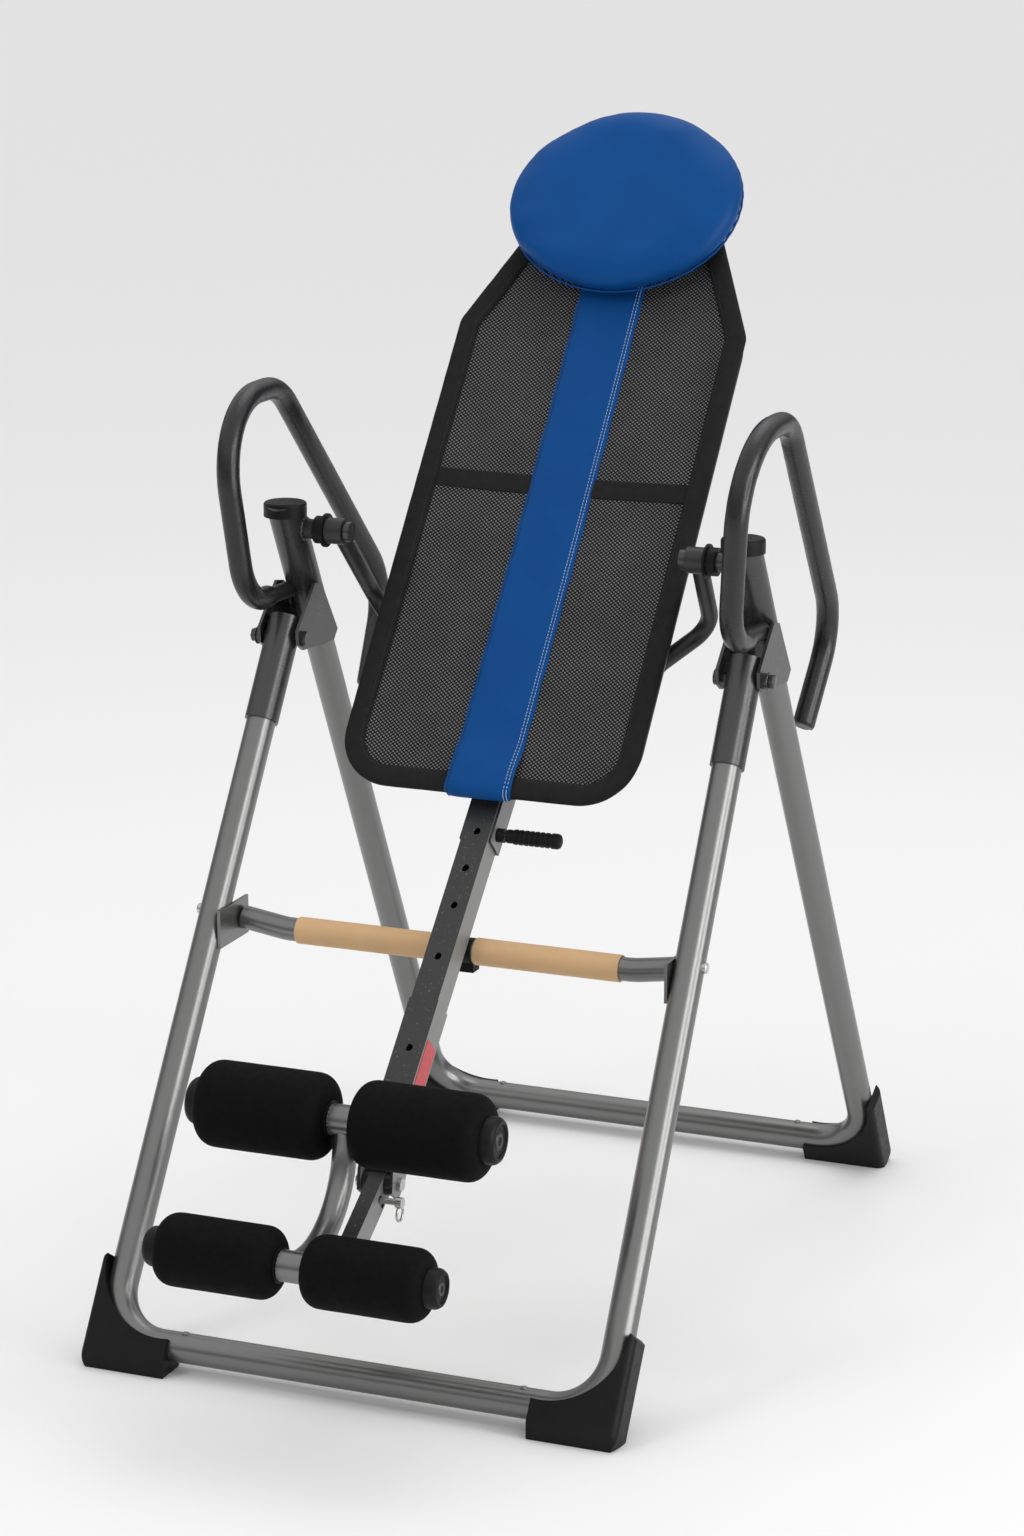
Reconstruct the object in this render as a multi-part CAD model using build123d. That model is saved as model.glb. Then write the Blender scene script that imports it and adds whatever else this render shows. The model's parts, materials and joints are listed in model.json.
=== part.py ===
from build123d import *
from math import atan2, cos, degrees, hypot, radians, sin
import os

# Inversion table, millimetres. +X is the user's left-to-right as seen from the front, +Y points to
# the back, +Z up. The origin is the centre of the footprint, on the floor.

# --- floor frames -----------------------------------------------------------------------------
LEG_R = 19.0                # outer radius of every leg and floor bar
TUBE_WALL = 2.0
BAR_Z = 30.0                # height of the floor bars' axes
CORNER_X = 328.0            # half the distance between the left and right legs at the floor
FRONT_BAR_Y = -429.2
REAR_BAR_Y = 598.8
BAR_HALF = 236.0            # the straight floor bar plugs into the bent legs here
LEG_BEND = 70.0             # bend radius of the floor corners
FRONT_TOP = (316.0, 82.8, 836.0)    # upper end of a front leg's axis
REAR_TOP = (311.5, 70.3, 988.0)     # upper end of a rear leg's axis

# --- corner boots -----------------------------------------------------------------------------
BOOT_LAP = 26.0             # how far a boot stands outside the leg's axis
BOOT_ALONG_BAR = 88.0
BOOT_UP_LEG = 98.0
BOOT_HALF_THICK = 25.0
BOOT_DEPTH = 54.0           # below the bar's axis before the sole is cut flat
BOOT_WAIST = 0.30           # where the hollow curve crosses the bend, as a share of its radius
BOOT_ROUND = 11.0
BOOT_TOE = 34.4             # from the bar's axis to the boot's outer end

# --- charcoal posts, hinge and pivot ----------------------------------------------------------
POST_R = 23.0
POST_BOTTOM_Z = 812.0
POST_RING_R = 25.5
POST_RING_HEIGHT = 15.0
CAP_R = 28.0
CAP_HEIGHT = 19.0
POST_TOP_Z = 987.0
SLEEVE_R = 22.0             # charcoal sleeve on a front leg
SLEEVE_BOTTOM_Z = 716.0
PLATE_T = 4.0
PLATE_IN_X = 289.0          # outer face of the inner hinge plate
PLATE_OUT_X = 339.2         # inner face of the outer hinge plate
HINGE_Y = 68.8
HINGE_Z = 814.0
HINGE_BOLT_R = 6.0
PIVOT_Y = 89.8
PIVOT_Z = 955.0
PIVOT_R = 9.0
EYE_GAP = 0.06              # running clearance of the pivots, radial

# --- crossbar ---------------------------------------------------------------------------------
CROSS_Y = -95.7
CROSS_Z = 474.0
CROSS_R = 15.0
CROSS_RISE = 9.0            # its ends rise towards the legs
CROSS_STRAIGHT = 236.0
CROSS_HALF = 296.5
CROSS_JOINT = 222.0         # the bent end pieces are welded on here
CROSS_FOAM_R = 17.3
CROSS_FOAM_IN = 24.0
CROSS_FOAM_OUT = 220.0
BRACKET_BOLT_R = 7.0
BRACKET_BOLT_UP = 16.0      # the bracket bolts' height above the crossbar's ends
BRACKET_BOLT_HEAD = 4.5
BUMPER_R = 16.4
BUMPER_HALF = 22.0

# --- grab handles -----------------------------------------------------------------------------
HANDLE_X = 320.0
HANDLE_TILT = 4.8           # the loops lean outwards
HANDLE_PIVOT_Z = 800.0
HANDLE_R = 11.0
HANDLE_FOAM_R = 15.0
HANDLE_FIT = 0.1            # radial gap between a handle tube and its grip
GRIP_END_WALL = 8.0         # foam that closes the grip's free end
HANDLE_START = (111.8, 868.0)
HANDLE_FOAM_START = (51.8, 870.65)
HANDLE_CORNERS = [(-15.2, 873.6), (-45.2, 1133.0), (131.8, 1133.0), (408.8, 818.0)]
HANDLE_END = (325.8, 693.0)
HANDLE_RADII = [60.0, 103.0, 80.0, 80.0]

# --- bed ----------------------------------------------------------------------------------------
BED_LEAN = 38.9             # of the bed, from the vertical
BED_ORIGIN = (206.5, 950.0) # (y, z) of the bed plane's reference point
BED_HALF = 200.0
BED_LOW = -375.0
BED_HIGH = 500.0
BED_SHOULDER = 305.0        # where the sides start to draw in
BED_TOP_HALF = 112.0
BED_CORNER_R = 72.0
BORDER = 26.0
BORDER_HALF_T = 7.0
MESH_HALF_T = 2.0
STRIPE_HALF = 45.0
STRIPE_T = 3.0
STRAP_U = 70.0
STRAP_HALF = 14.0
RAIL_R = 11.0
RAIL_X = 184.0
RAIL_BACK = 18.5            # the rails' axis behind the bed plane
RAIL_LOW = -350.0
RAIL_HIGH = 470.0
MEMBER_R = 10.0
PAD_CENTRE_U = 481.0
PAD_HALF_X = 160.0
PAD_HALF_U = 135.0
PAD_BACK = 12.0             # the head pad's back face, in front of the bed plane
PAD_THICK = 50.0
PAD_EDGE_R = 20.0

# --- pivot arms ---------------------------------------------------------------------------------
ARM_R = 11.0
ARM_IN = 13.0               # the arms lie behind the rails and a little inside them
ARM_BEHIND = 21.05
EYE_R = 17.0
EYE_IN_X = 234.0
EYE_OUT_X = 258.0
CUP_R = 22.0
CUP_IN_X = 259.0
CUP_OUT_X = 274.0

# --- boom -----------------------------------------------------------------------------------------
BOOM_LEAN = 44.5
BOOM_ORIGIN = (-43.3, 577.1)    # (y, z) of the boom's reference point on its axis
BOOM_HALF = 18.0
BOOM_WALL = 2.5
BOOM_TOP = -345.0
BOOM_END = 418.0
BOOM_SLEEVE_TOP = 210.0
BOOM_SLEEVE_HALF = 19.5
BOOM_SLEEVE_END = 412.0
INDEX_HOLES = [-31.0, 22.5, 76.0, 149.0]
LOWER_HOLE = 278.0
HOLE_R = 5.0
BOOM_TRAVEL = 100.0
RECEIVER_HALF = 21.5
RECEIVER_GAP = 0.4
RECEIVER_TOP = -352.0
RECEIVER_END = -112.0
CHEEK_END = -20.0
INDICATOR_FROM = 262.0
INDICATOR_TO = 372.0
INDICATOR_T = 0.8

# --- height pin -----------------------------------------------------------------------------------
PIN_S = -38.0               # along the boom
PIN_R = 4.0
PIN_HOUSING_R = 9.0
PIN_HOUSING_LEN = 10.0
GRIP_R = 10.0
GRIP_FROM = 34.0
GRIP_TO = 108.0

# --- ankle frame ----------------------------------------------------------------------------------
ANKLE_S = 443.5             # the ankle pivot in boom coordinates
ANKLE_T = -18.9
ANKLE_BOLT_R = 5.0
ANKLE_HUB_R = 15.0
LINK_HALF_X = 10.0
LINK_DEPTH = 34.0
LINK_HEEL = (-469.2, 168.0)
LINK_WALL = 2.5
UPPER_AXLE = (-443.2, 360.0)
LOWER_AXLE = (-589.2, 227.0)
BOW_R = 15.0
BOW_BEND = 112.0
TEE_R = 19.0
TEE_HALF = 15.0
AXLE_R = 10.0
UPPER_FOAM_R = 53.0
LOWER_FOAM_R = 44.0
UPPER_FOAM_END = 184.0
LOWER_FOAM_END = 172.0
FOAM_START = 18.4
FOAM_ROUND = 20.0
CORE_R = 16.0
FLANGE_R = 22.0
CAP_LEN = 14.0
STOP_PIN_OFFSET = 27.0
STOP_PIN_R = 4.0
ANKLE_SWING = 18

SIDES = (-1, 1)
SIDE_NAME = {-1: "left", 1: "right"}
nodes = {}


def unit_bed():
    """Directions of the bed in the YZ plane: up along it, and out of its front face."""
    a = radians(BED_LEAN)
    return (sin(a), cos(a)), (-cos(a), sin(a))


def unit_boom():
    """Directions of the boom in the YZ plane: down along it, and out of its front face."""
    a = radians(BOOM_LEAN)
    return (-sin(a), -cos(a)), (-cos(a), sin(a))


def bed_point(x, u, w):
    """A point on the bed: u up along it from the reference point, w in front of its plane."""
    (uy, uz), (wy, wz) = unit_bed()
    return Vector(x, BED_ORIGIN[0] + u * uy + w * wy, BED_ORIGIN[1] + u * uz + w * wz)


def boom_point(x, s, t=0.0):
    """A point on the boom: s down along its axis, t in front of the axis."""
    (sy, sz), (ty, tz) = unit_boom()
    return Vector(x, BOOM_ORIGIN[0] + s * sy + t * ty, BOOM_ORIGIN[1] + s * sz + t * tz)


def bed_plane(w):
    """Sketch plane parallel to the bed, X across it and Y up it, w in front of it."""
    (uy, uz), (wy, wz) = unit_bed()
    return Plane(origin=bed_point(0, 0, w), x_dir=(1, 0, 0), z_dir=(0, wy, wz))


def boom_plane(s):
    """Sketch plane across the boom at s, X across it, Y out of its front face, normal down it."""
    (sy, sz), _ = unit_boom()
    return Plane(origin=boom_point(0, s), x_dir=(1, 0, 0), z_dir=(0, sy, sz))


def rod(a, b, radius):
    """A solid round bar from a to b."""
    a, b = Vector(a), Vector(b)
    along = b - a
    plane = Plane(origin=a, z_dir=along)
    return plane * Cylinder(radius, along.length, align=(Align.CENTER, Align.CENTER, Align.MIN))


def rod_x(x0, x1, y, z, radius):
    """A solid round bar along X."""
    return rod((x0, y, z), (x1, y, z), radius)


def ring_x(x0, x1, y, z, outer, inner):
    """A ring along X."""
    lap = 1.0 if x1 > x0 else -1.0
    return rod_x(x0, x1, y, z, outer) - rod_x(x0 - lap, x1 + lap, y, z, inner)


def box_between(low, high):
    """A box from its lowest corner to its highest corner."""
    size = [h - l for l, h in zip(low, high)]
    middle = [(h + l) / 2 for l, h in zip(low, high)]
    return Pos(*middle) * Box(*size)


def swept(path, outer, inner=0.0):
    """A round bar, or a tube when inner is given, along a path."""
    plane = Plane(origin=path @ 0, z_dir=path % 0)
    bar = sweep(plane * Circle(outer), path=path)
    if inner > 0:
        bar = bar - sweep(plane * Circle(inner), path=path)
    return bar


def mirrored(shape, side):
    """The right-hand shape itself, or its mirror image for the left."""
    return shape if side > 0 else mirror(shape, about=Plane.YZ)


def leg_axis(front):
    """Corner and top of a right-hand leg's axis."""
    y = FRONT_BAR_Y if front else REAR_BAR_Y
    top = FRONT_TOP if front else REAR_TOP
    return Vector(CORNER_X, y, BAR_Z), Vector(*top)


def leg_point(front, z):
    """Point on a right-hand leg's axis at height z."""
    corner, top = leg_axis(front)
    return corner + (top - corner) * ((z - corner.Z) / (top.Z - corner.Z))


def leg_path(front):
    """Bent path of a right-hand leg, from its joint with the floor bar to its top."""
    corner, top = leg_axis(front)
    return FilletPolyline(Vector(BAR_HALF, corner.Y, BAR_Z), corner, top, radius=LEG_BEND)


def bent_leg(front, side):
    """One bent leg tube."""
    return mirrored(swept(leg_path(front), LEG_R, LEG_R - TUBE_WALL), side)


def floor_bar(front):
    """Straight bar between the two legs' lower ends."""
    y = FRONT_BAR_Y if front else REAR_BAR_Y
    return ring_x(-BAR_HALF, BAR_HALF, y, BAR_Z, LEG_R, LEG_R - TUBE_WALL)


def boot(front, side):
    """Corner boot: wraps the outside of the bend below a hollow curve, with a flat sole."""
    corner, top = leg_axis(front)
    up = (top - corner).normalized()
    across = Vector(-1, 0, 0).cross(up)
    plane = Plane(origin=corner, x_dir=(-1, 0, 0), z_dir=across)
    tip = (-LEG_R + 1, BOOT_UP_LEG)
    waist = (LEG_BEND * BOOT_WAIST, LEG_BEND * BOOT_WAIST)
    nose = (BOOT_ALONG_BAR, 4.0)
    edge = ThreePointArc(tip, waist, nose) + Polyline(
        nose, (BOOT_ALONG_BAR, -BOOT_DEPTH), (-BOOT_LAP, -BOOT_DEPTH), (-BOOT_LAP, BOOT_UP_LEG - 6), tip
    )
    profile = make_face(edge)
    heel = profile.vertices().sort_by(lambda v: v.X + v.Y)[0]
    profile = fillet(heel, 30.0)
    shell = extrude(plane * profile, BOOT_HALF_THICK, both=True)
    rims = [e for e in shell.edges() if boot_rim(e, plane)]
    shell = fillet(rims, BOOT_ROUND)
    body = shell & box_between((0, corner.Y - BOOT_TOE, 0), (600, corner.Y + 200, 200))
    if not front:
        body = shell & box_between((0, corner.Y - 200, 0), (600, corner.Y + BOOT_TOE, 200))
    body = body - swept(leg_path(front), LEG_R)
    return mirrored(body.solids().sort_by(SortBy.VOLUME)[-1], side)


def boot_rim(edge, plane):
    """True for the edges along the outside of a boot's two flat sides."""
    place = plane.to_local_coords(edge @ 0.5)
    outer_side = place.X < -LEG_R - 1 and place.Y < BOOT_UP_LEG / 2
    underside = place.X < BOOT_ALONG_BAR - 1 and place.Y < -LEG_R - 1
    return abs(abs(place.Z) - BOOT_HALF_THICK) < 0.1 and (outer_side or underside)


def tube_on_leg(front, z0, z1, outer, inner):
    """A straight sleeve on a right-hand leg between two heights."""
    a, b = leg_point(front, z0), leg_point(front, z1)
    step = (b - a).normalized()
    return rod(a, b, outer) - rod(a - step, b + step, inner)


def both(shape):
    """The right-hand shape and its mirror image, as separate solids."""
    return Compound(children=[mirrored(shape, -1), shape])


def rear_frame():
    """Rear legs and bar, charcoal posts, caps, hinge plates and pivot axles."""
    nodes["rear_floor_bar"] = floor_bar(False)
    for side in SIDES:
        nodes["rear_leg_" + SIDE_NAME[side]] = bent_leg(False, side) - mirrored(above_post(), side)
        nodes["rear_boot_" + SIDE_NAME[side]] = boot(False, side)
    sleeve = tube_on_leg(False, POST_BOTTOM_Z, REAR_TOP[2] + 20, POST_R, LEG_R)
    nodes["post_sleeves"] = both(sleeve - above_post())
    ring = tube_on_leg(False, POST_BOTTOM_Z - POST_RING_HEIGHT, POST_BOTTOM_Z, POST_RING_R, LEG_R)
    nodes["post_rings"] = both(ring)
    nodes["post_caps"] = both(post_cap())
    nodes["hinge_plates"] = hinge_plates()
    nodes["pivot_axles"] = both(pivot_axle())
    nodes["pivot_cups"] = both(pivot_cup())


def above_post():
    """Space above the level cut at the right post's top."""
    low = (REAR_TOP[0] - 80, REAR_TOP[1] - 80, POST_TOP_Z)
    return box_between(low, (REAR_TOP[0] + 80, REAR_TOP[1] + 80, POST_TOP_Z + 80))


def post_cap():
    """Level round cap on the right post."""
    middle = leg_point(False, POST_TOP_Z - CAP_HEIGHT / 2 + 3)
    cap = Pos(middle.X, middle.Y, POST_TOP_Z + 5) * Cylinder(
        CAP_R, CAP_HEIGHT, align=(Align.CENTER, Align.CENTER, Align.MAX)
    )
    cap = fillet(cap.edges().sort_by(Axis.Z)[-1], 4.0)
    post = rod(leg_point(False, 900), leg_point(False, REAR_TOP[2] + 20), POST_R)
    return cap - (post - above_post())


def hinge_plates():
    """Two plates on each side that join a post to the front leg's hinge bolt."""
    post_a, post_b = leg_point(False, 806), leg_point(False, 900)
    outline = [
        (post_b.Y - 13, 880),
        (post_b.Y + 8, 876),
        (post_a.Y + 4, 806),
        (post_a.Y - 8, 793),
        (HINGE_Y - 1, 799),
        (HINGE_Y - 15, 808),
        (HINGE_Y - 17, 828),
    ]
    face = Plane.YZ * make_face(Polyline(*outline, close=True))
    plates = []
    for x in (PLATE_IN_X - PLATE_T, PLATE_OUT_X):
        plate = Pos(x, 0, 0) * extrude(face, PLATE_T)
        plate = plate - rod_x(x - 5, x + PLATE_T + 5, HINGE_Y, HINGE_Z, HINGE_BOLT_R)
        plates += [plate, mirrored(plate, -1)]
    post = rod(leg_point(False, 700), leg_point(False, 960), POST_R)
    ring_low = POST_BOTTOM_Z - POST_RING_HEIGHT - 1
    ring = rod(leg_point(False, ring_low), leg_point(False, POST_BOTTOM_Z + 1), POST_RING_R)
    cleared = []
    for plate in plates:
        cut = plate - post - mirrored(post, -1) - ring - mirrored(ring, -1)
        cleared.append(cut.solids().sort_by(SortBy.VOLUME)[-1])
    return Compound(children=cleared)


def pivot_axle():
    """Stub axle on the inner side of the right post, with its boss."""
    post = rod(leg_point(False, 880), leg_point(False, post_cap_base()), POST_R)
    boss = rod_x(CUP_OUT_X, REAR_TOP[0] - 4, PIVOT_Y, PIVOT_Z, 13.0)
    stub = rod_x(EYE_IN_X - 5, CUP_OUT_X, PIVOT_Y, PIVOT_Z, PIVOT_R)
    head = rod_x(EYE_IN_X - 9, EYE_IN_X - 1.5, PIVOT_Y, PIVOT_Z, 13.0)
    return (boss + stub + head) - post


def post_cap_base():
    """Height at which the post's cap starts."""
    return POST_TOP_Z + 5 - CAP_HEIGHT


def pivot_cup():
    """Flanged cup round the right stub axle, next to its boss."""
    body = ring_x(CUP_IN_X + 3, CUP_OUT_X, PIVOT_Y, PIVOT_Z, CUP_R - 4, PIVOT_R)
    flange = ring_x(CUP_IN_X, CUP_IN_X + 3, PIVOT_Y, PIVOT_Z, CUP_R, PIVOT_R)
    return body + flange


def handle_plane_tilt(shape):
    """Leans a right-hand handle outwards about its lower part."""
    return Pos(HANDLE_X, 0, HANDLE_PIVOT_Z) * Rot(0, HANDLE_TILT, 0) * Pos(0, 0, -HANDLE_PIVOT_Z) * shape


def handle_path(start, short=0.0):
    """The handle's bent path in the YZ plane, from a start on its first run, short of its end."""
    last, end = HANDLE_CORNERS[-1], HANDLE_END
    share = 1 - short / hypot(end[0] - last[0], end[1] - last[1])
    end = tuple(a + (b - a) * share for a, b in zip(last, end))
    points = [start] + HANDLE_CORNERS + [end]
    return FilletPolyline(*[Vector(0, y, z) for y, z in points], radius=HANDLE_RADII)


def handles():
    """Grab handles: a steel tube from the post and its foam grip."""
    post = rod(leg_point(False, 700), leg_point(False, post_cap_base()), POST_R)
    core_path = handle_path(HANDLE_START, GRIP_END_WALL)
    core = handle_plane_tilt(swept(core_path, HANDLE_R, HANDLE_R - TUBE_WALL))
    core = (core - post).solids().sort_by(SortBy.VOLUME)[-1]
    bore = swept(core_path, HANDLE_R + HANDLE_FIT)
    grip = handle_plane_tilt(swept(handle_path(HANDLE_FOAM_START), HANDLE_FOAM_R) - bore)
    for side in SIDES:
        nodes["handle_tube_" + SIDE_NAME[side]] = mirrored(core, side)
        nodes["handle_grip_" + SIDE_NAME[side]] = mirrored(grip, side)


def front_frame():
    """Front legs and bar, charcoal sleeves, hinge bolts and the crossbar."""
    nodes["front_floor_bar"] = floor_bar(True)
    for side in SIDES:
        leg = bent_leg(True, side)
        bolt_hole = rod_x(side * 280, side * 360, HINGE_Y, HINGE_Z, HINGE_BOLT_R)
        nodes["front_leg_" + SIDE_NAME[side]] = leg - bolt_hole
        nodes["front_boot_" + SIDE_NAME[side]] = boot(True, side)
    sleeve = tube_on_leg(True, SLEEVE_BOTTOM_Z, FRONT_TOP[2], SLEEVE_R, LEG_R)
    sleeve = sleeve - rod_x(280, 360, HINGE_Y, HINGE_Z, HINGE_BOLT_R)
    nodes["front_leg_sleeves"] = both(sleeve)
    shank = rod_x(PLATE_IN_X - PLATE_T, PLATE_OUT_X + PLATE_T, HINGE_Y, HINGE_Z, HINGE_BOLT_R - EYE_GAP)
    head = rod_x(PLATE_OUT_X + PLATE_T, PLATE_OUT_X + PLATE_T + 6, HINGE_Y, HINGE_Z, 10.0)
    nut = rod_x(PLATE_IN_X - PLATE_T - 6, PLATE_IN_X - PLATE_T, HINGE_Y, HINGE_Z, 10.0)
    nodes["hinge_bolts"] = both(shank + head + nut)
    crossbar()


def crossbar():
    """Crossbar that stops the bed, its foam sleeves, end brackets, bolts and rubber bumper."""
    end = Vector(CROSS_HALF, CROSS_Y, CROSS_Z + CROSS_RISE)
    knee = Vector(CROSS_STRAIGHT, CROSS_Y, CROSS_Z)
    mirror_end, mirror_knee = Vector(-end.X, end.Y, end.Z), Vector(-knee.X, knee.Y, knee.Z)
    path = FilletPolyline(mirror_end, mirror_knee, knee, end, radius=120.0)
    whole = swept(path, CROSS_R, CROSS_R - TUBE_WALL)
    middle = rod_x(-CROSS_JOINT, CROSS_JOINT, CROSS_Y, CROSS_Z, CROSS_R)
    straight = ring_x(-CROSS_JOINT, CROSS_JOINT, CROSS_Y, CROSS_Z, CROSS_R, CROSS_R - TUBE_WALL)
    nodes["crossbar"] = Compound(children=[straight] + (whole - middle).solids())
    foam = ring_x(CROSS_FOAM_IN, CROSS_FOAM_OUT, CROSS_Y, CROSS_Z, CROSS_FOAM_R, CROSS_R)
    nodes["crossbar_grips"] = both(foam)
    leg = leg_point(True, CROSS_Z + CROSS_RISE)
    plate = box_between(
        (CROSS_HALF + 2.6, leg.Y - 20, CROSS_Z + CROSS_RISE - 25),
        (CROSS_HALF + 6.6, CROSS_Y + CROSS_R + 2, CROSS_Z + CROSS_RISE + 25),
    )
    leg_bar = rod(leg_point(True, 380), leg_point(True, 600), LEG_R)
    plate = (plate - leg_bar).solids().sort_by(SortBy.VOLUME)[-1]
    nodes["crossbar_brackets"] = both(plate)
    place = leg_point(True, leg.Z + BRACKET_BOLT_UP)
    bolt = rod_x(place.X, place.X + LEG_R + BRACKET_BOLT_HEAD, place.Y, place.Z, BRACKET_BOLT_R)
    rim = bolt.edges().filter_by(GeomType.CIRCLE).sort_by(Axis.X)[-1]
    nodes["crossbar_bolts"] = both(fillet(rim, 2.5) - leg_bar)
    collar = ring_x(-BUMPER_HALF, BUMPER_HALF, CROSS_Y, CROSS_Z, BUMPER_R, CROSS_R)
    foot = box_between(
        (-BUMPER_HALF, CROSS_Y - 4, CROSS_Z - CROSS_R - 13),
        (BUMPER_HALF, CROSS_Y + 16, CROSS_Z - CROSS_R + 1),
    )
    foot = foot - rod_x(-40, 40, CROSS_Y, CROSS_Z, CROSS_R)
    nodes["stop_bumper"] = collar + foot


def bed_outline(inset):
    """Closed outline of the bed, inset from its edge."""
    slope = atan2(BED_HALF - BED_TOP_HALF, BED_HIGH - BED_SHOULDER)
    side = BED_HALF - inset
    low = BED_LOW + inset
    high = BED_HIGH - inset
    drawn = inset / cos(slope)
    top = BED_TOP_HALF - drawn + inset * sin(slope) / cos(slope)
    shoulder = BED_SHOULDER + (inset - drawn) / (sin(slope) / cos(slope)) * -1
    points = [(-side, low), (side, low), (side, shoulder), (top, high), (-top, high), (-side, shoulder)]
    face = make_face(Polyline(*points, close=True))
    corners = face.vertices().sort_by(Axis.Y)
    face = fillet(corners[:2], BED_CORNER_R - inset)
    tops = face.vertices().sort_by(Axis.Y)[-2:]
    return fillet(tops, 40.0)


def backrest():
    """Mesh panel, padded border, centre stripe and cross strap."""
    hole = bed_outline(BORDER)
    border = extrude(bed_plane(0) * (bed_outline(0) - hole), BORDER_HALF_T, both=True)
    nodes["backrest_border"] = border
    mesh = extrude(bed_plane(0) * hole, MESH_HALF_T, both=True)
    nodes["backrest_mesh"] = mesh
    top = BED_HIGH - BORDER - 1
    inner_low = BED_LOW + BORDER
    stripe = Pos(0, (top + inner_low) / 2) * Rectangle(2 * STRIPE_HALF, top - inner_low)
    nodes["backrest_stripe"] = extrude(bed_plane(MESH_HALF_T) * stripe, STRIPE_T)
    span = BED_HALF - BORDER - STRIPE_HALF
    half = Pos(STRIPE_HALF + span / 2, STRAP_U) * Rectangle(span, 2 * STRAP_HALF)
    nodes["backrest_straps"] = both(extrude(bed_plane(MESH_HALF_T) * half, 2.0))


def rail_path(side):
    """One half of the bed's tube frame, from the bottom centre to the top centre."""
    points = [
        bed_point(0, RAIL_LOW, -RAIL_BACK),
        bed_point(side * RAIL_X, RAIL_LOW, -RAIL_BACK),
        bed_point(side * RAIL_X, BED_SHOULDER - 4, -RAIL_BACK),
        bed_point(side * (BED_TOP_HALF - 8), RAIL_HIGH, -RAIL_BACK),
        bed_point(0, RAIL_HIGH, -RAIL_BACK),
    ]
    return FilletPolyline(*points, radius=[62.0, 90.0, 50.0])


def bed_frame():
    """Tube frame of the bed in two halves, its crossmembers, receiver and pivot arms."""
    nodes["bed_rails"] = Compound(children=[swept(rail_path(side), RAIL_R, RAIL_R - 1.5) for side in SIDES])
    rails = []
    for side in SIDES:
        ends = [bed_point(side * RAIL_X, u, -RAIL_BACK) for u in (-300, 290)]
        rails.append(rod(*ends, RAIL_R))
    members = []
    for u in (-190.0, 40.0, 230.0):
        member = rod(bed_point(-RAIL_X, u, -RAIL_BACK), bed_point(RAIL_X, u, -RAIL_BACK), MEMBER_R)
        for rail in rails:
            member = member - rail
        bore = rod(bed_point(-RAIL_X, u, -RAIL_BACK), bed_point(RAIL_X, u, -RAIL_BACK), MEMBER_R - TUBE_WALL)
        members.append((member - bore).solids().sort_by(SortBy.VOLUME)[-1])
    nodes["bed_crossmembers"] = Compound(children=members)
    receiver()
    for side in SIDES:
        nodes["pivot_arm_" + SIDE_NAME[side]] = mirrored(pivot_arm(), side)
    nodes["pivot_eyes"] = both(ring_x(EYE_IN_X, EYE_OUT_X, PIVOT_Y, PIVOT_Z, EYE_R, PIVOT_R + EYE_GAP))


def receiver():
    """Square socket for the boom, its hangers, and the cheeks that hold the height pin."""
    inner = BOOM_HALF + RECEIVER_GAP
    sketch = Rectangle(2 * RECEIVER_HALF, 2 * RECEIVER_HALF) - Rectangle(2 * inner, 2 * inner)
    tube = extrude(boom_plane(RECEIVER_TOP) * sketch, RECEIVER_END - RECEIVER_TOP)
    open_front = Rectangle(2 * RECEIVER_HALF, 2 * RECEIVER_HALF) - Pos(0, RECEIVER_HALF / 2) * Rectangle(
        2 * inner, RECEIVER_HALF + 2 * inner
    )
    open_front = open_front & Pos(0, -RECEIVER_HALF + inner) * Rectangle(2 * RECEIVER_HALF, 2 * inner)
    channel = extrude(boom_plane(RECEIVER_END) * open_front, CHEEK_END - RECEIVER_END)
    hole = rod(boom_point(0, PIN_S), boom_point(40, PIN_S), PIN_R + EYE_GAP)
    nodes["boom_receiver"] = tube + (channel - hole)
    hangers = []
    for u in (-190.0, 40.0):
        base = bed_point(0, u, -RAIL_BACK)
        block = box_between((-16, -60, -14), (16, 60, 14))
        block = Pos(base.X, base.Y, base.Z) * Rot(-BED_LEAN, 0, 0) * block
        member = rod(bed_point(-50, u, -RAIL_BACK), bed_point(50, u, -RAIL_BACK), MEMBER_R)
        core = extrude(boom_plane(RECEIVER_TOP - 60) * Rectangle(2 * RECEIVER_HALF, 2 * RECEIVER_HALF), 500)
        ahead = Box(200, 200, 200, align=(Align.CENTER, Align.CENTER, Align.MIN))
        front = bed_plane(-RAIL_BACK) * Pos(0, u) * ahead
        block = block - member - core - front
        hangers.append(block.solids().sort_by(lambda s: (s.center() - base).length)[0])
    nodes["receiver_hangers"] = Compound(children=hangers)
    housing_end = RECEIVER_HALF + PIN_HOUSING_LEN
    bore_r = PIN_R + EYE_GAP
    nodes["pin_housing"] = ring_x(RECEIVER_HALF, housing_end, *pin_place(), PIN_HOUSING_R, bore_r)


def pin_place():
    """(y, z) of the height pin's axis."""
    place = boom_point(0, PIN_S)
    return place.Y, place.Z


def pivot_arm():
    """Bent arm from the right pivot eye to the back of the bed's rail."""
    points = [
        Vector((EYE_IN_X + EYE_OUT_X) / 2, PIVOT_Y + 6, PIVOT_Z),
        bed_point(EYE_IN_X, -92, -RAIL_BACK - ARM_BEHIND - 4),
        bed_point(RAIL_X - ARM_IN, -160, -RAIL_BACK - ARM_BEHIND - 3),
        bed_point(RAIL_X - ARM_IN, -235, -RAIL_BACK - ARM_BEHIND),
    ]
    arm = swept(FilletPolyline(*points, radius=[34.0, 40.0]), ARM_R, ARM_R - 2)
    eye = rod_x(EYE_IN_X - 4, EYE_OUT_X + 4, PIVOT_Y, PIVOT_Z, EYE_R)
    return (arm - eye).solids().sort_by(SortBy.VOLUME)[-1]


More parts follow.
